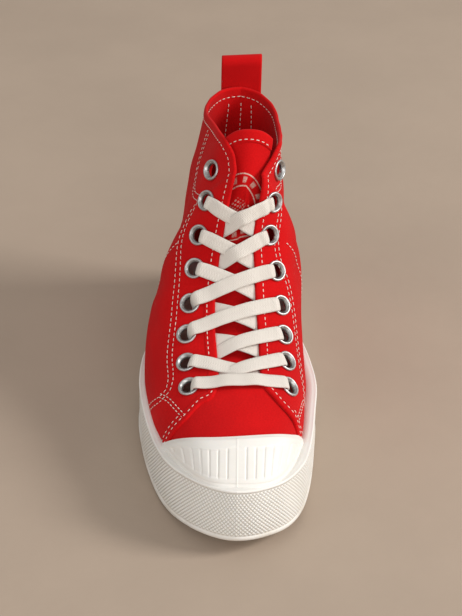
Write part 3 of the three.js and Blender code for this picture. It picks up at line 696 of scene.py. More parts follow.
# Soft creases: side, rib, mm down, half length, half width, depth (negative is a ridge), turn in degrees
# from the run of the shoe.
CREASES = np.array([
    [-1, 9.6, 62, 22, 5, 1.3, 62], [-1, 10.6, 78, 26, 6, 1.2, 40], [-1, 8.2, 52, 20, 5, 0.8, 30],
    [-1, 13.6, 66, 24, 8, 1.0, 10], [-1, 12.6, 95, 26, 7, 1.1, -18], [-1, 15.6, 40, 22, 9, -0.8, 5],
    [-1, 7.0, 46, 16, 5, 0.6, 20], [-1, 16.4, 92, 22, 7, 0.7, -12], [-1, 14.2, 112, 24, 8, -0.6, 4],
    [1, 9.8, 44, 20, 5, 1.1, 58], [1, 11.0, 62, 24, 6, 1.2, 34], [1, 8.4, 50, 18, 5, 0.8, 26],
    [1, 13.4, 58, 24, 8, 1.0, 6], [1, 12.8, 88, 26, 7, 1.0, -16], [1, 15.8, 46, 20, 9, -0.7, 0],
    [1, 16.2, 96, 22, 7, 0.7, -10], [1, 7.2, 58, 16, 5, 0.5, 14]])


def creased(side, rib, down):
    """Depth of the creases: each is a bell along its length times a bell across it."""
    depth = np.zeros(np.broadcast(rib, down).shape)
    for row in CREASES[CREASES[:, 0] == side]:
        _, at_rib, at_down, length, width, deep, turn = row
        a, b = (rib - at_rib) * MM_PER_RIB, down - at_down
        c, s = np.cos(np.radians(turn)), np.sin(np.radians(turn))
        depth += deep * ridge(c * a + s * b, length) * ridge(c * b - s * a, width)
    return depth


FRONT_LIMITS = 4.6, 6.3     # ribs between which the front edges lie
FLARE_HEIGHT = 1.2          # how far the front edge of the medial quarter lifts off
COLUMN_RUN = 250.0          # mm over which columns are laid out before they are fitted to a quarter
EDGE_LEVELS = np.array([0, 0.4, 1, 1.8, 2.7, 3.4, 3.9, 4.4, 4.9, 5.4, 5.8, 6.2, 6.7, 7.6])


def quarter_grid(side, levels, shares):
    """Rib and distance down for levels in mm from the edge and shares of the way from there to the sole.

    Columns run from the front edge to the heel seam. The front edge is followed by repeated substitution.
    """
    edge = FRONT_EDGE[side]
    near = RIM + np.concatenate([levels, np.full(len(shares), levels[-1])])[:, None]
    way = np.concatenate([np.zeros(len(levels)), shares])[:, None]

    def down_at(rib):
        top = throat_edge(side, rib)
        return top + near + way * (rib_length(side, rib) - top - near)

    front = np.full(near.shape, 5.5)
    for _ in range(12):
        down = np.clip(down_at(front), edge[0, 1], edge[-1, 1])
        front = np.clip(smooth(edge[:, 1], edge[:, 0], down), *FRONT_LIMITS)
    front = front + RIM / MM_PER_RIB
    run = (LAST_RIB - front) * MM_PER_RIB
    columns = np.concatenate([EDGE_LEVELS, np.arange(9.2, 118, 1.9), np.arange(118, 172, 1.1),
                              np.linspace(172, COLUMN_RUN, 42)])
    columns = columns / columns[-1]
    first = EDGE_LEVELS[-1] / COLUMN_RUN
    share = np.where(columns <= first, columns * COLUMN_RUN / run, 0)
    start = EDGE_LEVELS[-1] / run
    rest = start + (1 - start) * (columns - first) / (1 - first)
    share = np.where(columns <= first, share, rest)
    rib = front + (LAST_RIB - front) * share
    return rib, down_at(rib), (rib - front) * MM_PER_RIB + RIM


def relief(side, rib, down, from_front):
    """How far the cloth stands off the ribs' face: creases fade towards the edges and the sole."""
    inside = np.minimum(down - throat_edge(side, rib), from_front)
    length = rib_length(side, rib)
    folds = creased(side, rib, down) * step(inside, 4, 16) * (1 - step(down, length - 14, length))
    flare = ridge(from_front, 7) * step(down, 12, 20) * (1 - step(down, 34, 44)) * (side == MEDIAL)
    return FLARE_HEIGHT * flare - folds


def from_front_edge(side, rib, down):
    """Rough distance behind a quarter's front edge."""
    edge = FRONT_EDGE[side]
    front = smooth(edge[:, 1], edge[:, 0], np.clip(down, edge[0, 1], edge[-1, 1]))
    return (rib - front) * MM_PER_RIB


def quarter(side, cloth):
    """Side panel: the upper's face behind the front edge, with a folded, stitched border."""
    rib, down, from_front = quarter_grid(side, EDGE_LEVELS, np.linspace(0, 1, 56)[1:])
    points = on_side(side, rib, down)
    normals = turned_to(grid_normals(points), (20, 80), [side, 0, 0.3])
    from_top = down - throat_edge(side, rib)
    inside = np.minimum(from_top, from_front)
    fold = 0.4 * (1 - step(inside, FOLD - 0.6, FOLD + 0.1)) - 0.16 * ridge(inside - EDGE_STITCH, 0.45)
    puff = 0.12 * np.sin(rib * 9) * ridge(from_top - 2.5, 3)
    points = points + normals * relief(side, rib, down, from_front)[..., None]
    name = "quarter_lateral" if side == LATERAL else "quarter_medial"
    uv = rib * MM_PER_RIB, down
    return sheet_piece(name, points, normals, fold + puff, -WALL + 0.1, uv, cloth)


def vamp(cloth):
    """Front panel under the quarters, from the nose to the foot of the throat."""
    share = np.linspace(-1, 1, 141)[None, :]
    row = np.linspace(0, 1, 90)[:, None]
    rib = np.full((90, 141), 5.0)
    for _ in range(3):
        length = np.where(share < 0, rib_length(LATERAL, rib), rib_length(MEDIAL, rib))
        offset = share * length
        rear = 6.35 + 0.55 * step(np.abs(offset), 13, 19)
        rib = 1.2 + (rear - 1.2) * row
    points = across(rib, offset)
    normals = turned_to(grid_normals(points), (60, 70), [0, 0, 1])
    bow = 0.35 * ridge(rib - 5.6, 0.5) * ridge(offset - 8, 18)
    hollow = 0.3 * ridge(rib - 5.1, 0.25) * ridge(offset + 4, 20)
    top = bow - hollow - VAMP_SINK
    return sheet_piece("vamp", points, normals, top, -WALL, (rib * MM_PER_RIB, offset), cloth)


def heel_strip(cloth):
    """Strip down the heel seam, 26 mm wide, folded at both sides, a thread's height proud."""
    half, width = 0.62, 27
    across_share = np.linspace(-1, 1, width)
    way = np.linspace(0, 1, 60)
    sides = []
    for side in (LATERAL, MEDIAL):
        share = across_share[across_share <= 0] if side == LATERAL else -across_share[across_share > 0]
        rib = np.broadcast_to((LAST_RIB + half * share)[None, :], (60, len(share)))
        down = 1.2 + way[:, None] * (rib_length(side, rib) - 1.4)
        sides.append((on_side(side, rib, down), share * np.ones_like(down) * -side, down))
    points = np.concatenate([sides[0][0], sides[1][0]], 1)
    u = np.concatenate([sides[0][1], sides[1][1]], 1)
    down = np.concatenate([sides[0][2], sides[1][2]], 1)
    normals = turned_to(grid_normals(points), (20, 13), [0, 1, 0])
    top = 0.95 - 0.15 * ridge(np.abs(u) - 0.78, 0.06)
    return sheet_piece("heel_strip", points, normals, top, -0.2, (u * 13, down), cloth)


def bored(made, places, directions, radius):
    """Cuts round holes through a piece at the given places."""
    turns = np.linspace(0, 2 * np.pi, 25)[:-1]
    parts = []
    for place, direction in zip(places, directions):
        side = unit(np.cross(direction, [0.3, 0.2, 1.0]))
        up = np.cross(side, direction)
        ring = place + radius * (np.cos(turns)[:, None] * side + np.sin(turns)[:, None] * up)
        ends = np.concatenate([ring - 5 * direction, ring + 5 * direction])
        i = np.arange(24)
        quads = np.stack([i, (i + 1) % 24, (i + 1) % 24 + 24, i + 24], -1)
        cap = np.array([[0, k + 1, k] for k in range(1, 23)])
        parts.append((ends, quads, np.zeros((48, 2)), np.concatenate([cap, cap[:, ::-1] + 24])))
    vertices, quads, uv, triangles = joined(parts)
    drill = piece("drill", vertices, quads, uv, made.data.materials[0], triangles)
    outward_faces(drill)
    cut = made.modifiers.new("holes", "BOOLEAN")
    cut.operation = "DIFFERENCE"
    cut.solver = "EXACT"
    cut.object = drill
    bpy.context.view_layer.update()
    evaluated = made.evaluated_get(bpy.context.evaluated_depsgraph_get())
    mesh = bpy.data.meshes.new_from_object(evaluated)
    made.modifiers.clear()
    made.data = mesh
    bpy.data.objects.remove(drill)
    return made


# ------------------------------------------------------------------ stitches


def stitches(name, lines, cotton, length=2.3, gap=0.9, width=0.5, proud=0.12):
    """Rows of short rounded threads. Each line is (points, normals); a thread is an ellipse carried
    along its stitch, width * sin(a) wide and half as high, sinking into the cloth at both ends."""
    rings, around = 7, 6
    t = np.linspace(-1, 1, rings)
    girth = np.sqrt(np.maximum(1 - np.abs(t) ** 3, 0.02))
    a = np.linspace(0, 2 * np.pi, around, endpoint=False)
    verts = []
    for path, normal in lines:
        at = arc_length(path)
        count = max(int(at[-1] / (length + gap)), 1)
        centre = (np.arange(count) + 0.5) * at[-1] / count
        where = centre[:, None] + t[None, :] * length / 2
        place = np.stack([np.interp(where, at, path[:, k]) for k in range(3)], -1)
        up = unit(np.stack([np.interp(where, at, normal[:, k]) for k in range(3)], -1))
        run = unit(place[:, -1:] - place[:, :1])
        side = np.cross(up, run)
        sink = (proud + 0.1 - 0.45 * t**4)[None, :, None]
        centres = place + up * sink
        ring = (centres[:, :, None]
                + side[:, :, None] * (np.cos(a)[:, None] * width / 2) * girth[:, None, None]
                + up[:, :, None] * (np.sin(a)[:, None] * width / 3.2) * girth[:, None, None])
        verts.append(ring.reshape(-1, rings * around, 3))
    verts = np.concatenate(verts)
    count = len(verts)
    quads = grid_quads(rings, around, wrap_columns=True)
    caps = np.array([[0, i + 1, i] for i in range(1, around - 1)])
    triangles = np.concatenate([caps, caps[:, ::-1] + (rings - 1) * around])
    start = np.arange(count)[:, None, None] * rings * around
    uv = np.meshgrid(np.linspace(0, length, rings), np.linspace(0, 2, around), indexing="ij")
    uv = np.tile(np.stack(uv, -1).reshape(-1, 2), (count, 1))
    quads, triangles = (quads + start).reshape(-1, 4), (triangles + start).reshape(-1, 3)
    return piece(name, verts.reshape(-1, 3), quads, uv, cotton, triangles)


THREAD_RISE = 0.22      # the middle of a thread stands this far off the outer face


def line_on(side, rows, lifted=0.0, inner=False, count=240):
    """Stitch line through (rib, down) rows of a given table, on the outer or the inner face."""
    rows = np.asarray(rows, float)
    t = np.linspace(0, len(rows) - 1, count)
    knots = np.arange(len(rows))
    rib, down = smooth(knots, rows[:, 0], t), smooth(knots, rows[:, 1], t)
    place, outward = side_at(side, np.minimum(rib, LAST_RIB - 0.001), down)
    off = relief(side, rib, down, from_front_edge(side, rib, down))
    if inner:
        return place + outward * (off - WALL)[:, None], -outward
    return place + outward * (off + lifted)[:, None], outward


def edge_line(side, inset, from_rib, to_rib, inner=False):
    """Line at a fixed distance inside the throat and collar edge."""
    rib = np.linspace(from_rib, to_rib, 400)
    down = throat_edge(side, rib) + inset
    place, outward = side_at(side, np.minimum(rib, LAST_RIB - 0.001), down)
    off = relief(side, rib, down, from_front_edge(side, rib, down))[:, None]
    if inner:
        return place + outward * (off - WALL), -outward
    return place + outward * (off + THREAD_RISE), outward


def front_line(side, inset):
    """Line at a fixed distance behind a quarter's front edge."""
    edge = FRONT_EDGE[side]
    down = np.linspace(edge[0, 1] + inset, 52, 160)
    rib = smooth(edge[:, 1], edge[:, 0], down) + inset / MM_PER_RIB
    place, outward = side_at(side, rib, down)
    off = THREAD_RISE + relief(side, rib, down, np.full(len(down), inset))
    return place + outward * off[:, None], outward


# Lines of double stitching on each side, from the collar down to the sole: rib and mm down it.
FACING = {
    LATERAL: [(14.2, 7), (14.25, 18), (14.1, 32), (13.5, 43), (12.6, 49), (11.6, 47), (10.65, 43.5),
              (9.4, 36.5), (8.18, 35.2), (7.15, 37.3), (6.6, 36.6), (6.33, 37.4), (6.13, 40), (6.07, 48),
              (6.4, 65)],
    MEDIAL: [(13.9, 7), (13.9, 18), (13.5, 27), (12.6, 32), (11.6, 30), (10.52, 24.5), (9.93, 23.5),
             (9.48, 26.5), (9.15, 32.5), (8.57, 37.7), (8, 40.3), (7.12, 44.8), (6.72, 53.2), (6.6, 62)],
}
CORNER = {
    LATERAL: [(6.18, 46), (5.98, 41), (5.84, 38), (5.55, 33.5), (5.22, 28.4)],
    MEDIAL: [(6.5, 51), (6.23, 46.5), (5.95, 43.5), (5.6, 40.2)],
}


def shifted(line, distance):
    """The line moved sideways over the surface."""
    path, normal = line
    run = unit(np.gradient(path, axis=0))
    return path + np.cross(normal, run) * distance, normal


def all_stitches(cotton):
    """Edge, front, facing, corner and heel lines on both sides, outside and in."""
    outside, inside = [], []
    for side in (LATERAL, MEDIAL):
        outside.append(edge_line(side, EDGE_STITCH, 6.55, LAST_RIB - 0.65))
        outside.append(front_line(side, EDGE_STITCH - 1.2))
        path, normal = front_line(side, EDGE_STITCH + 1.6)
        outside.append((path[70:], normal[70:]))
        facing = line_on(side, FACING[side], 0.02)
        apart = 1.7 if side == LATERAL else 1.4
        outside += [shifted(facing, -apart), shifted(facing, apart)]
        corner = line_on(side, CORNER[side], 0.02, count=60)
        outside += [shifted(corner, -1.0), shifted(corner, 1.0)]
        inside.append(edge_line(side, 5.4, 13.4, LAST_RIB, inner=True))
        rib = LAST_RIB - 0.48
        outside.append(line_on(side, [(rib, 3), (rib, 50), (rib, 112)], 0.85))
        seam = [(rib - 0.1, 9), (rib - 0.1, 40), (rib - 0.1, 80)]
        inside.append(line_on(side, seam, inner=True))
    outside.append(line_on(LATERAL, [(10.3, 44), (10.33, 58), (10.36, 74), (10.4, 100)]))
    outside.append(line_on(MEDIAL, [(10.2, 32), (10.3, 58), (10.36, 74), (10.4, 98)]))
    seam = LAST_RIB - 0.01
    inside.append(line_on(LATERAL, [(seam, 9), (seam, 40), (seam, 80)], inner=True))
    stitches("stitching_outside", outside, cotton)
    stitches("stitching_inside", inside, cotton)


# ------------------------------------------------------------------ rubber: toe cap, wall, sole

RIB_PITCH = 4.8         # spacing of the toe cap's grooves
MOULD_X = 4.8           # mould line down the middle of the toe
# Rear edge of the toe cap: signed distance over the instep and rib.
CAP_REAR = np.array([[-62, 5.3], [-40, 4.71], [-25.4, 4.44], [-14, 4.34], [0, 4.36], [7, 4.41], [18, 4.54],
                     [32, 4.83], [42.5, 5.13], [60, 5.5]])
# Smooth band along that edge: distance from the mould line and width, in two shallow scallops.
CAP_BAND = np.array([[0, 6.2], [5, 7.6], [11, 8.4], [19, 7.8], [28, 6], [35, 4.2], [60, 3]])


def toe_cap(white):
    """Rubber cap over the nose with fine grooves that draw together towards the tip."""
    rows, columns = 130, 300
    share = np.linspace(-0.86, 0.86, columns)[None, :]
    way = np.linspace(0, 1, rows)[:, None]
    rib = np.full((rows, columns), 4.5)
    for _ in range(4):
        length = np.where(share < 0, rib_length(LATERAL, rib), rib_length(MEDIAL, rib))
        offset = share * length
        rear = smooth(CAP_REAR[:, 0], CAP_REAR[:, 1], offset)
        rib = 1.0 + (rear - 1.0) * way
    points = across(rib, offset)
    normals = turned_to(grid_normals(points), (100, 150), [0, 0, 1])
    from_rear = distances(points[::-1], 0)[::-1]
    above_wall = points[..., 2] - foxing_top(points[..., 1] + LENGTH / 2)
    x = points[..., 0] - MOULD_X
    drawn = 1 - 0.2 * step(np.abs(x), 5, 25) * np.clip(from_rear / 32, 0, 1)
    at = x / drawn / RIB_PITCH
    groove = ridge((at - np.round(at)) * RIB_PITCH, 0.42) * (np.abs(np.round(at)) > 0)
    band = smooth(CAP_BAND[:, 0], CAP_BAND[:, 1], np.abs(x))
    ribbed = step(from_rear, band - 0.2, band + 0.4) * step(above_wall, 3.2, 4.2)
    top = CAP_PROUD - 0.85 * (1 - step(from_rear, 0, 2.5))
    top = top - 0.25 * ribbed - 0.6 * groove * ribbed
    top += 0.22 * ridge(x, 0.35) * step(from_rear, 0.5, 1.5) - 0.25 * ridge(above_wall - 1.6, 0.4)
    return sheet_piece("rubber_toe_cap", points, normals, top, -1.2, (x, from_rear), white)


DIAMOND_WIDTH, SAMPLES = 2.5, 6
WALL_ROWS, BEAD_HEIGHT = 61, 1.5


def loop_stations():
    """Side and angle of stations round the shoe from the heel, close together round the toe."""
    fine = DIAMOND_WIDTH / SAMPLES
    sides, angles, lengths = [], [], []
    for side in (LATERAL, MEDIAL):
        dense = np.linspace(0, np.pi, 4000)
        x, back = outline(side, dense, 0)
        length = np.concatenate([[0], np.cumsum(np.hypot(np.diff(x), np.diff(back)))])
        toe = np.arange(0 if side == LATERAL else 1, int(118 / fine)) * fine
        rest = np.linspace(toe[-1] + fine, length[-1], 110)[: None if side == LATERAL else -1]
        wanted = np.concatenate([toe, rest])
        angle = np.interp(wanted, length, dense)
        if side == LATERAL:
            angle, wanted = angle[::-1], wanted[::-1]
        sides.append(np.full(len(angle), side))
        angles.append(angle)
        lengths.append(wanted * side)
    return np.concatenate(sides), np.concatenate(angles), np.concatenate(lengths)


def wall_outline(sides, angles, inset):
    """Outline points of stations on either side."""
    left, right = outline(LATERAL, angles, inset), outline(MEDIAL, angles, inset)
    lateral = sides == LATERAL
    return np.where(lateral, left[0], right[0]), np.where(lateral, left[1], right[1])


FOOT_INSET = 0.55           # the wall's foot stands this far inside the sole's outline
DIAMOND_DEPTH = 0.95        # how far a pyramid stands out
DIAMOND_FADE = 70, 116      # mm round from the tip between which the pyramids shrink to a fifth
DIAMOND_REACH = 112         # mm round from the tip past which the finish paints no shade in the diamonds' grooves
BEAD_RADIUS = 0.9


def foxing(white):
    """Rubber wall: leaning profile carried round the outline, diamond pyramids, a bead on top.

    The pyramids' height is the lesser of two triangle waves along the two diagonals.
    """
    sides, angles, around = loop_stations()
    back = back_at(angles)
    base, top = lift(back) + LIP_TOP - 0.4, foxing_top(back)
    waist = midfoot(back)
    top_inset = 1.25 - 0.7 * waist + 6.2 * near_toe(back, 42) ** 1.2
    upper_inset = np.where(sides == LATERAL, foot_inset(LATERAL, back), foot_inset(MEDIAL, back))
    way = np.linspace(0, 1, WALL_ROWS)[:, None]
    body = (top - BEAD_HEIGHT - base)[None, :]
    z = base + body * way
    inset = FOOT_INSET + (top_inset - FOOT_INSET)[None, :] * (way * 0.92) ** 1.8 + 0.9 * near_toe(back, 30)
    cells = way * (WALL_ROWS - 1) / SAMPLES
    p, q = around[None, :] / DIAMOND_WIDTH + cells, around[None, :] / DIAMOND_WIDTH - cells

    def wave(phase):
        return 1 - np.abs(2 * (phase - np.floor(phase)) - 1)

    strength = 1 - 0.8 * step(np.abs(around), *DIAMOND_FADE)
    strength = strength * step(way, 0.0, 0.05) * (1 - step(way, 0.95, 1.0))
    pyramid = (1 - (1 - np.minimum(wave(p), wave(q))) ** 1.7) * DIAMOND_DEPTH * strength
    inset = inset - pyramid + 0.5 * strength
    bead_turn = np.linspace(-0.5, 1, 9)[:, None] * np.pi / 2
    bead_inset = inset[-1:] - 0.1 + BEAD_RADIUS * (1 - np.cos(bead_turn)) - 0.2
    bead_z = (top - BEAD_RADIUS) + BEAD_RADIUS * np.sin(bead_turn)
    groove_inset, groove_z = bead_inset[-1:] + 0.9, (top - 0.35)[None, :]
    behind_bead = np.maximum(upper_inset + 2.4, bead_inset[-1] + 3.5)
    ledge_inset = np.stack([bead_inset[-1] + 1.5, bead_inset[-1] + 2.3, behind_bead])
    ledge_z = np.stack([top - 0.05, top - 0.25, top - 0.5])
    inner_inset = np.maximum(upper_inset + 1.6, bead_inset[-1] + 3.0)[None, :]
    inset = np.concatenate([inset, bead_inset, groove_inset, ledge_inset, inner_inset])
    z = np.concatenate([z, bead_z, groove_z, ledge_z, base[None, :]])
    mould = 0.18 * ridge(around, 0.5)[None, :]
    x, behind = wall_outline(sides, angles, 0)
    x1, behind1 = wall_outline(sides, angles, 1)
    inward_x, inward_back = x1 - x, behind1 - behind
    inset = inset - mould
    points = row_xyz(x + inward_x * inset, behind + inward_back * inset, z)
    rows, columns = points.shape[:2]
    quads = grid_quads(rows, columns, wrap_rows=True, wrap_columns=True)
    # uv for the finish's painted groove shade: diamond cells on the wall's face, none on the bead, ledge
    # and inside.
    patterned = np.concatenate([cells[:, 0], np.full(rows - WALL_ROWS, 0.5)])[:, None]
    u = np.where(np.arange(rows)[:, None] < WALL_ROWS, around[None, :] / DIAMOND_WIDTH, 0.0)
    faded = np.abs(around)[None, :] > DIAMOND_REACH
    u, v = np.where(faded, 0, u), np.where(faded, 0.5, patterned)
    uv = np.stack([u, v], -1).reshape(-1, 2)
    return outward_faces(piece("rubber_wall", points.reshape(-1, 3), quads, uv, white))


def outsole(dark):
    """Sole slab with toe spring: a rounded edge lip, and zigzag channels across the tread."""
    stations, columns = 350, 110
    angle = np.linspace(0.02, np.pi - 0.02, stations)[:, None]
    share = np.sin(np.linspace(-1, 1, columns) * np.pi / 2)[None, :]
    angle, share = np.broadcast_arrays(angle, share)
    half = LIP_TOP / 2
    inset = half + 1.2 * near_toe(back_at(angle), 30)
    left, right = outline(LATERAL, angle, inset), outline(MEDIAL, angle, inset)
    blend = (share + 1) / 2
    x = left[0] * (1 - blend) + right[0] * blend
    back = left[1] * (1 - blend) + right[1] * blend
    points = row_xyz(x, back, lift(back) + near_toe(back, 40))
    edge = np.minimum(np.minimum(x - left[0], right[0] - x), np.minimum(back - 4, LENGTH - 4 - back))
    zigzag = 1.6 * np.abs(((x + 200) / 9) % 2 - 1)
    phase = (back - 24 + zigzag + 4.5) % 9 - 4.5
    treaded = step(edge, 4.5, 6) * step(back, 22, 24) * (1 - step(back, 250, 252))
    treaded = treaded * (1 - step(back, 134, 136) * (1 - step(back, 184, 186)))
    channel = (1 - step(np.abs(phase), 1.0, 1.6)) * treaded
    fine = ridge(((x + back * 0.4) / 4.5) % 1 * 4.5 - 2.25, 0.5) * treaded * 0.4
    arch = ridge(edge - 6, 0.7) * 0.5 * (1 - step(back, 134, 140) * (1 - step(back, 180, 186)))
    normals = np.broadcast_to([0.0, 0.0, -1.0], points.shape)
    top = -(1.8 * channel + np.maximum(fine * (1 - channel), arch))
    return sheet_piece("rubber_sole", points, normals, top, -LIP_TOP, (x, back), dark, rim=9)


def footbed_slab(cloth):
    """Insole: a slab inside the upper, slightly dished at the heel."""
    stations, columns = 120, 40
    angle = np.linspace(0.18, np.pi - 0.1, stations)[:, None]
    share = np.sin(np.linspace(-1, 1, columns) * np.pi / 2)[None, :]
    angle, share = np.broadcast_arrays(angle, share)
    sides = []
    for side in (LATERAL, MEDIAL):
        sides.append(outline(side, angle, foot_inset(side, back_at(angle)) + WALL + 1.8))
    blend = (share + 1) / 2
    x = sides[0][0] * (1 - blend) + sides[1][0] * blend
    back = sides[0][1] * (1 - blend) + sides[1][1] * blend
    dish = 1.2 * share**2 * step(back, 120, 220)
    z = DECK + 0.9 * lift(back) + 2.2 + dish
    points = row_xyz(x, back, z)
    normals = np.broadcast_to([0.0, 0.0, 1.0], points.shape)
    half = np.full(x.shape, 1.4)
    return sheet_piece("footbed", points, normals, half, -half, (x, back), cloth)


# ------------------------------------------------------------------ tongue and pull loop

# Rib and reach down each side; above the flaps: x, back, height, half width, droop, bow.
TONGUE_ROWS = np.array([[5.7, 21], [7, 25], [9, 25], [11, 17.5]])
TONGUE_TOP = np.array([[8.2, 161, 137, 11.6, 10, 6], [8.6, 167, 147.5, 11.8, 7, 5],
                       [9.2, 173, 158, 12.3, 3.5, 4]])
TONGUE_DEPTH = 5.2
TONGUE_BINDING, TONGUE_STITCH = 5.8, 4.3
PRINT_CENTRE, PRINT_RADIUS = (-5.0, 41.0), 18.5


def tongue(cloth):
    """Cloth tongue: follows the flaps from beneath, then leans back free; its top edge is bound."""
    share = np.linspace(-1, 1, 61)[None, :]
    ribs = np.arange(5.7, 10.71, 0.5)
    reach = smooth(TONGUE_ROWS[:, 0], TONGUE_ROWS[:, 1], ribs)[:, None]
    place, outward = face_at(ribs[:, None] + 0 * share, share * reach)
    below = place - outward * TONGUE_DEPTH
    x, back, height, half, droop, bow = TONGUE_TOP.T[:, :, None]
    above = row_xyz(x + share * half, back + bow * share**2, height - droop * share**2)
    rough = np.concatenate([below, above])
    middle = rough[:, 30]
    at = arc_length(middle)
    total = at[-1]
    way = np.concatenate([np.linspace(0, total - 12, 90), np.linspace(total - 11.5, total, 34)])
    strands = [smooth(at, rough.reshape(len(rough), -1)[:, j], way) for j in range(61 * 3)]
    points = np.stack(strands, 1).reshape(len(way), 61, 3)
    normals = turned_to(grid_normals(points), (60, 30), [0, -1, 0])
    u = share * np.linalg.norm(points[:, -1:] - points[:, :1], axis=-1) / 2
    v = np.broadcast_to((total - way)[:, None], u.shape)
    bound = 1 - step(v, TONGUE_BINDING - 0.5, TONGUE_BINDING)
    seam = ridge(v - TONGUE_STITCH, 0.4)
    waves = 0.5 * np.sin(v / 9 + u / 14) * step(v, 10, 30)
    corner = 3.2 * np.abs(share) ** 3 * (1 - step(v, 0, 14))
    run = unit(np.gradient(points, axis=0))
    points = points - run * corner[..., None]
    top = 0.8 * bound - 0.2 * seam + waves
    made = sheet_piece("cloth_tongue", points, normals, top, waves - WALL, (u, v), cloth)
    row = np.argmin(np.abs(way - (total - TONGUE_STITCH)))
    line = (points + normals * top[..., None])[row, 3:-3]
    return made, (line, normals[row, 3:-3])


LOOP_WIDTH, LOOP_TOP, LOOP_FOOT, LOOP_TAPE, LOOP_GAP = 23.0, 158.2, 116.0, 1.5, 6.2


def pull_loop(webbing):
    """Tape folded over above the heel: its middle line rises, turns over in a half circle and returns."""
    heel = on_side(MEDIAL, np.full(60, LAST_RIB - 0.001), np.linspace(0, 70, 60))
    x = heel[0, 0]
    z = np.linspace(LOOP_FOOT, 138, 10)
    on_heel = np.interp(z, heel[::-1, 2], heel[::-1, 1])
    radius = (LOOP_GAP + LOOP_TAPE) / 2
    front = on_heel[-1] + 0.8 + LOOP_TAPE / 2
    turn = np.linspace(0, np.pi, 16)
    crown = LOOP_TOP - LOOP_TAPE / 2 - radius
    rise = np.linspace(140, crown - 1, 9)
    fall = np.linspace(crown - 1, 141, 8)
    path = np.concatenate([
        np.stack([on_heel + 1.5, z], -1),
        np.stack([np.full(9, front), rise], -1),
        np.stack([front + radius - radius * np.cos(turn), crown + radius * np.sin(turn)], -1),
        np.stack([np.full(8, front + 2 * radius), fall], -1),
        np.stack([on_heel[::-1] + 3.0, z[::-1]], -1)])
    path = np.concatenate([np.full((len(path), 1), x), path], -1)
    path = resampled(path, 120)
    for _ in range(3):
        path[1:-1] = (path[:-2] + 2 * path[1:-1] + path[2:]) / 4
    run = unit(np.gradient(path, axis=0))
    up = np.stack([np.zeros(120), run[:, 2], -run[:, 1]], -1)
    half, thick = LOOP_WIDTH / 2, 0.7
    u = np.linspace(-half, half, 24)
    profile = np.concatenate([np.stack([u, thick + 0 * u], -1), [[half + 0.35, 0]],
                              np.stack([u[::-1], -thick + 0 * u], -1), [[-half - 0.35, 0]]])
    vertices, quads, uv, triangles = sweep(path, up, profile)
    vertices[:, 2] += 0.07 * (vertices[:, 0] - x) * step(vertices[:, 2], 138, 150)
    return outward_faces(piece("webbing_loop", vertices, quads, uv, webbing, triangles))


# ------------------------------------------------------------------ eyelets and lace


def eyelet_places():
    """Place, outward direction, rib and signed offset of all the eyelets."""
    found = []
    for rib_l, down_l, rib_m, down_m in EYELETS:
        for rib, offset in ((rib_l, -down_l), (rib_m, down_m)):
            offset -= EYELET_SHIFT * np.sign(offset)
            place, outward = face_at(np.array(rib), np.array(offset))
            turned = 0.25 * step(rib, 10.5, 12.5) + 0.08
            facing = unit(outward + turned * np.array([0, -0.8, 0.6]))
            found.append((place + outward * turned * 2.2, facing, rib, offset))
    return found


def eyelet_rings(metal, places):
    """Rolled rings: a rounded flange, a barrel through the cloth and a flatter rolled back."""
    f, h, p = EYELET_FLANGE, EYELET_HOLE, EYELET_PROUD
    turn = np.linspace(-0.25, 1.0, 9) * np.pi
    roll_r = (f - h - 0.5) / 2
    front = np.stack([h + 0.5 + roll_r + roll_r * np.cos(turn), p + 0.75 * np.sin(turn)], -1)
    barrel = [[h, p - 0.2], [h + 0.1, -1.7], [h + 0.6, -2.3], [h + 1.5, -2.5], [h + 1.9, -2.2]]
    rear = [[h + 1.4, -2.0], [h + 0.7, -1.9], [h + 0.7, 0.2], [f - 0.6, 0.1]]
    profile = np.concatenate([front, barrel, rear])
    a = np.linspace(0, 2 * np.pi, 40, endpoint=False)
    parts = []
    for place, outward, _, _ in places:
        side = unit(np.cross(outward, [0.2, 0.1, 1.0]))
        up = np.cross(side, outward)
        radial = np.cos(a)[:, None] * side + np.sin(a)[:, None] * up
        ring = place + profile[None, :, :1] * radial[:, None] + profile[None, :, 1:] * outward
        quads = grid_quads(len(a), len(profile), wrap_rows=True, wrap_columns=True)
        uv = np.zeros((ring.shape[0] * ring.shape[1], 2))
        parts.append((ring.reshape(-1, 3), quads, uv, np.zeros((0, 3), int)))
    vertices, quads, uv, _ = joined(parts)
    return outward_faces(piece("rolled_eyelets", vertices, quads, uv, metal))


def lace_profile(widths):
    """Rounded flat section of the lace at each width, upper face first."""
    u = np.linspace(-1, 1, 11)
    crown = LACE_THICK / 2 * (1 - 0.55 * np.abs(u) ** 5)
    top = np.stack([u, crown], -1)
    under = np.stack([u[::-1], -crown], -1)
    shape = np.concatenate([top, under])
    heights = np.broadcast_to(shape[:, 1], (len(widths), len(shape)))
    return np.stack([shape[None, :, 0] * widths[:, None] / 2, heights], -1)


OVER_EYELET, OVER_FLAP, UNDER_FLAP = 2.9, 1.35, -3.0
SAG_PEAK = 5.2      # brings the sag curve's highest value to about 0.9


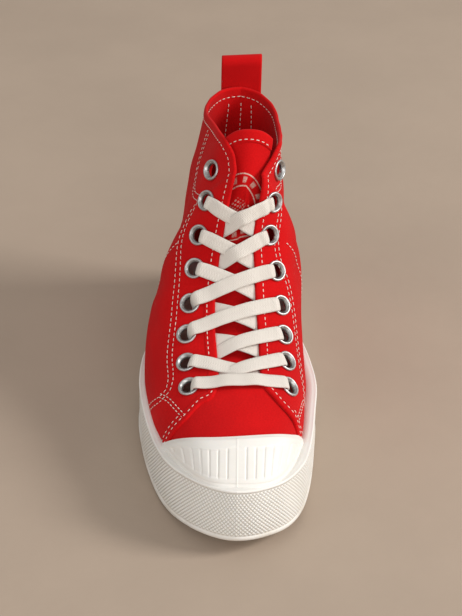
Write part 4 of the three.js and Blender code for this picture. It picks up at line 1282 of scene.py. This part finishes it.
def strand(start, end, middle, sag=0.0):
    """One lace strand between two eyelets. Each end is (rib, offset, over): over the flap it rises out
    of the eyelet and lies on the cloth; otherwise it slips under the flap's edge to the eyelet."""
    (rib_a, off_a, _), (rib_b, off_b, _) = start, end
    run = off_b - off_a
    knots = []
    for rib, offset, over in (start, end):
        side = np.sign(offset)
        edge = side * throat_edge(side, np.array(max(rib, 6.6)))
        if over:
            marks = [(offset + side * 0.2, -4.6), (offset - side * 0.9, -1.6), (offset - side * 1.9, 1.2),
                     (offset - side * 3.6, OVER_EYELET), (offset - side * 7.5, OVER_EYELET - 0.7),
                     (edge + side * 3.5, OVER_FLAP + 0.35), (edge - side * 3, middle + 0.5)]
        else:
            marks = [(offset + side * 0.2, -5.2), (offset - side * 5, -4.2), (edge + side * 4, UNDER_FLAP),
                     (edge - side * 3, middle * 0.4 - 1.2)]
        marks = [((at - off_a) / run, height) for at, height in marks]
        knots.append(marks)
    knots = np.array(knots[0] + [(0.5, middle)] + knots[1][::-1])
    t = np.linspace(knots[0, 0], knots[-1, 0], 90)
    inside = np.clip(t, 0, 1)
    drop = t + sag * SAG_PEAK * inside**1.5 * (1 - inside) ** 1.1
    rib, offset = rib_a + (rib_b - rib_a) * drop, off_a + run * t
    height = smooth(knots[:, 0], knots[:, 1], t)
    place, outward = face_at(rib, offset)
    path = place + outward * height[:, None]
    for _ in range(4):
        path[1:-1] = (path[:-2] + 2 * path[1:-1] + path[2:]) / 4
    path = resampled(path, 90)
    from_start, from_end = (np.linalg.norm(path - path[k], axis=1) for k in (0, -1))
    from_eyelet = np.minimum(from_start, from_end)
    widths = LACE_WIDTH - 2.6 * (1 - step(from_eyelet, 3.5, 11))
    return sweep(path, outward, lace_profile(widths))


def spot(row, side, over):
    """The eyelet of a row as one end of a strand."""
    rib_l, down_l, rib_m, down_m = EYELETS[row - 1]
    return (rib_l, EYELET_SHIFT - down_l, over) if side == LATERAL else (rib_m, down_m - EYELET_SHIFT, over)


def laces(cloth):
    """Bar across the lowest row, and the two strands between each row and the next."""
    parts = [strand(spot(8, LATERAL, True), spot(8, MEDIAL, True), 2.2)]
    for row, upper_over, lower_over, upper_sag, lower_sag in CROSSINGS:
        parts.append(strand(spot(row, MEDIAL, True), spot(row + 1, LATERAL, upper_over), 1.5, upper_sag))
        parts.append(strand(spot(row, LATERAL, lower_over), spot(row + 1, MEDIAL, False), 0.0, lower_sag))
    vertices, quads, uv, triangles = joined(parts)
    return outward_faces(piece("flat_laces", vertices, quads, uv, cloth, triangles))


# ------------------------------------------------------------------ putting it together

red = canvas("red_canvas")
places = eyelet_places()
hole_at = [place for place, *_ in places]
hole_along = [outward for _, outward, *_ in places]
panels = []
for panel_side, first in ((LATERAL, 0), (MEDIAL, 1)):
    panel = quarter(panel_side, red)
    panels.append(bored(panel, hole_at[first::2], hole_along[first::2], EYELET_HOLE + HOLE_MARGIN))
front_panel = bored(vamp(red), hole_at[-4:], hole_along[-4:], EYELET_HOLE + HOLE_MARGIN)
heel_strip(red)
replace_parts(panels[0], "upper")
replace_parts(panels[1], "upper")
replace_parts(front_panel, "upper")

white_rubber = rubber("white_rubber")
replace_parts(toe_cap(white_rubber), "toe_cap")
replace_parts(foxing(rubber("wall_rubber", diamond_groove_shade=True)), "foxing")
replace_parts(outsole(rubber("sole_rubber", 0.8)), "outsole")
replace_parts(footbed_slab(footbed()), "insole")

cloth_tongue, tongue_seam = tongue(canvas("printed_canvas", print_on=tongue_print))
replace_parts(cloth_tongue, "tongue")
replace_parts(pull_loop(canvas("loop_webbing", pitch=1.1)), "pull_loop")

ring_nodes = [f"eyelet_{name}_{i}" for name in ("lateral", "medial") for i in range(1, 9)]
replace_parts(eyelet_rings(nickel(), places), *ring_nodes)
lace_nodes = [f"lace_crossing_{row}" for row, *_ in CROSSINGS] + ["lace_bar_8"]
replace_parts(laces(lace_cloth()), *lace_nodes)

cotton = thread()
all_stitches(cotton)
stitches("tongue_stitching", [tongue_seam], cotton)

# ------------------------------------------------------------------ floor, light and camera


# Metres from here on. Each light: name, place, size, power, colour.
LIGHTS = [("window", (2.6, -0.2, 1.75), 0.95, 74, (1.0, 0.985, 0.96)),
          ("fill", (-1.6, -1.4, 1.6), 2.0, 11, (0.98, 0.99, 1.0)),
          ("front", (0.5, -2.4, 1.2), 1.4, 24, (1.0, 0.985, 0.97))]
LIT_POINT = 0, 0, 0.05
STUDIO_COLOUR, STUDIO_STRENGTH = (1.0, 0.97, 0.94, 1.0), 0.5
FLOOR_COLOUR, FLOOR_REACH = (0.41, 0.325, 0.255), 3.0


def floor():
    """Plain floor under the sole, far wider than the view."""
    reach = FLOOR_REACH
    mesh = bpy.data.meshes.new("floor")
    corners = [(-reach, -reach, 0), (reach, -reach, 0), (reach, reach, 0), (-reach, reach, 0)]
    mesh.from_pydata(corners, [], [(0, 1, 2, 3)])
    mesh.materials.append(plaster("floor_plaster", FLOOR_COLOUR))
    made = bpy.data.objects.new("floor", mesh)
    bpy.context.scene.collection.objects.link(made)


def area_light(name, place, size, power, colour):
    """Square soft light at a place, turned to face the lit point."""
    data = bpy.data.lights.new(name, "AREA")
    data.size = size
    data.energy = power
    data.color = colour
    made = bpy.data.objects.new(name, data)
    bpy.context.scene.collection.objects.link(made)
    made.location = place
    made.rotation_euler = (Vector(LIT_POINT) - Vector(place)).to_track_quat("-Z", "Y").to_euler()


floor()
for light in LIGHTS:
    area_light(*light)

world = bpy.data.worlds.new("studio")
world.use_nodes = True
world.node_tree.nodes["Background"].inputs["Color"].default_value = STUDIO_COLOUR
world.node_tree.nodes["Background"].inputs["Strength"].default_value = STUDIO_STRENGTH
bpy.context.scene.world = world
bpy.context.scene.view_settings.view_transform = "Standard"

CAMERA_PLACE = (-0.01075, -0.9574, 0.6935)
CAMERA_PITCH, CAMERA_YAW, CAMERA_ROLL = 33.2, 0.7, 1.5
CAMERA_LENS, SENSOR = 119.9, 36.0


def camera():
    """Looks down the shoe from in front: pitch below the horizon, a little yaw and roll, in degrees."""
    pitch, yaw, roll = np.radians([CAMERA_PITCH, CAMERA_YAW, CAMERA_ROLL])
    ahead = np.array([np.sin(yaw) * np.cos(pitch), np.cos(yaw) * np.cos(pitch), -np.sin(pitch)])
    right = np.array([np.cos(yaw), -np.sin(yaw), 0.0])
    up = np.cross(right, ahead)
    x = np.cos(roll) * right + np.sin(roll) * up
    y = -np.sin(roll) * right + np.cos(roll) * up
    data = bpy.data.cameras.new("camera")
    data.sensor_width = data.sensor_height = SENSOR
    data.sensor_fit = "AUTO"
    data.lens = CAMERA_LENS
    made = bpy.data.objects.new("camera", data)
    bpy.context.scene.collection.objects.link(made)
    turned = np.eye(4)
    turned[:3, 0], turned[:3, 1], turned[:3, 2], turned[:3, 3] = x, y, -ahead, CAMERA_PLACE
    made.matrix_world = Matrix(turned.tolist())
    bpy.context.scene.camera = made


camera()
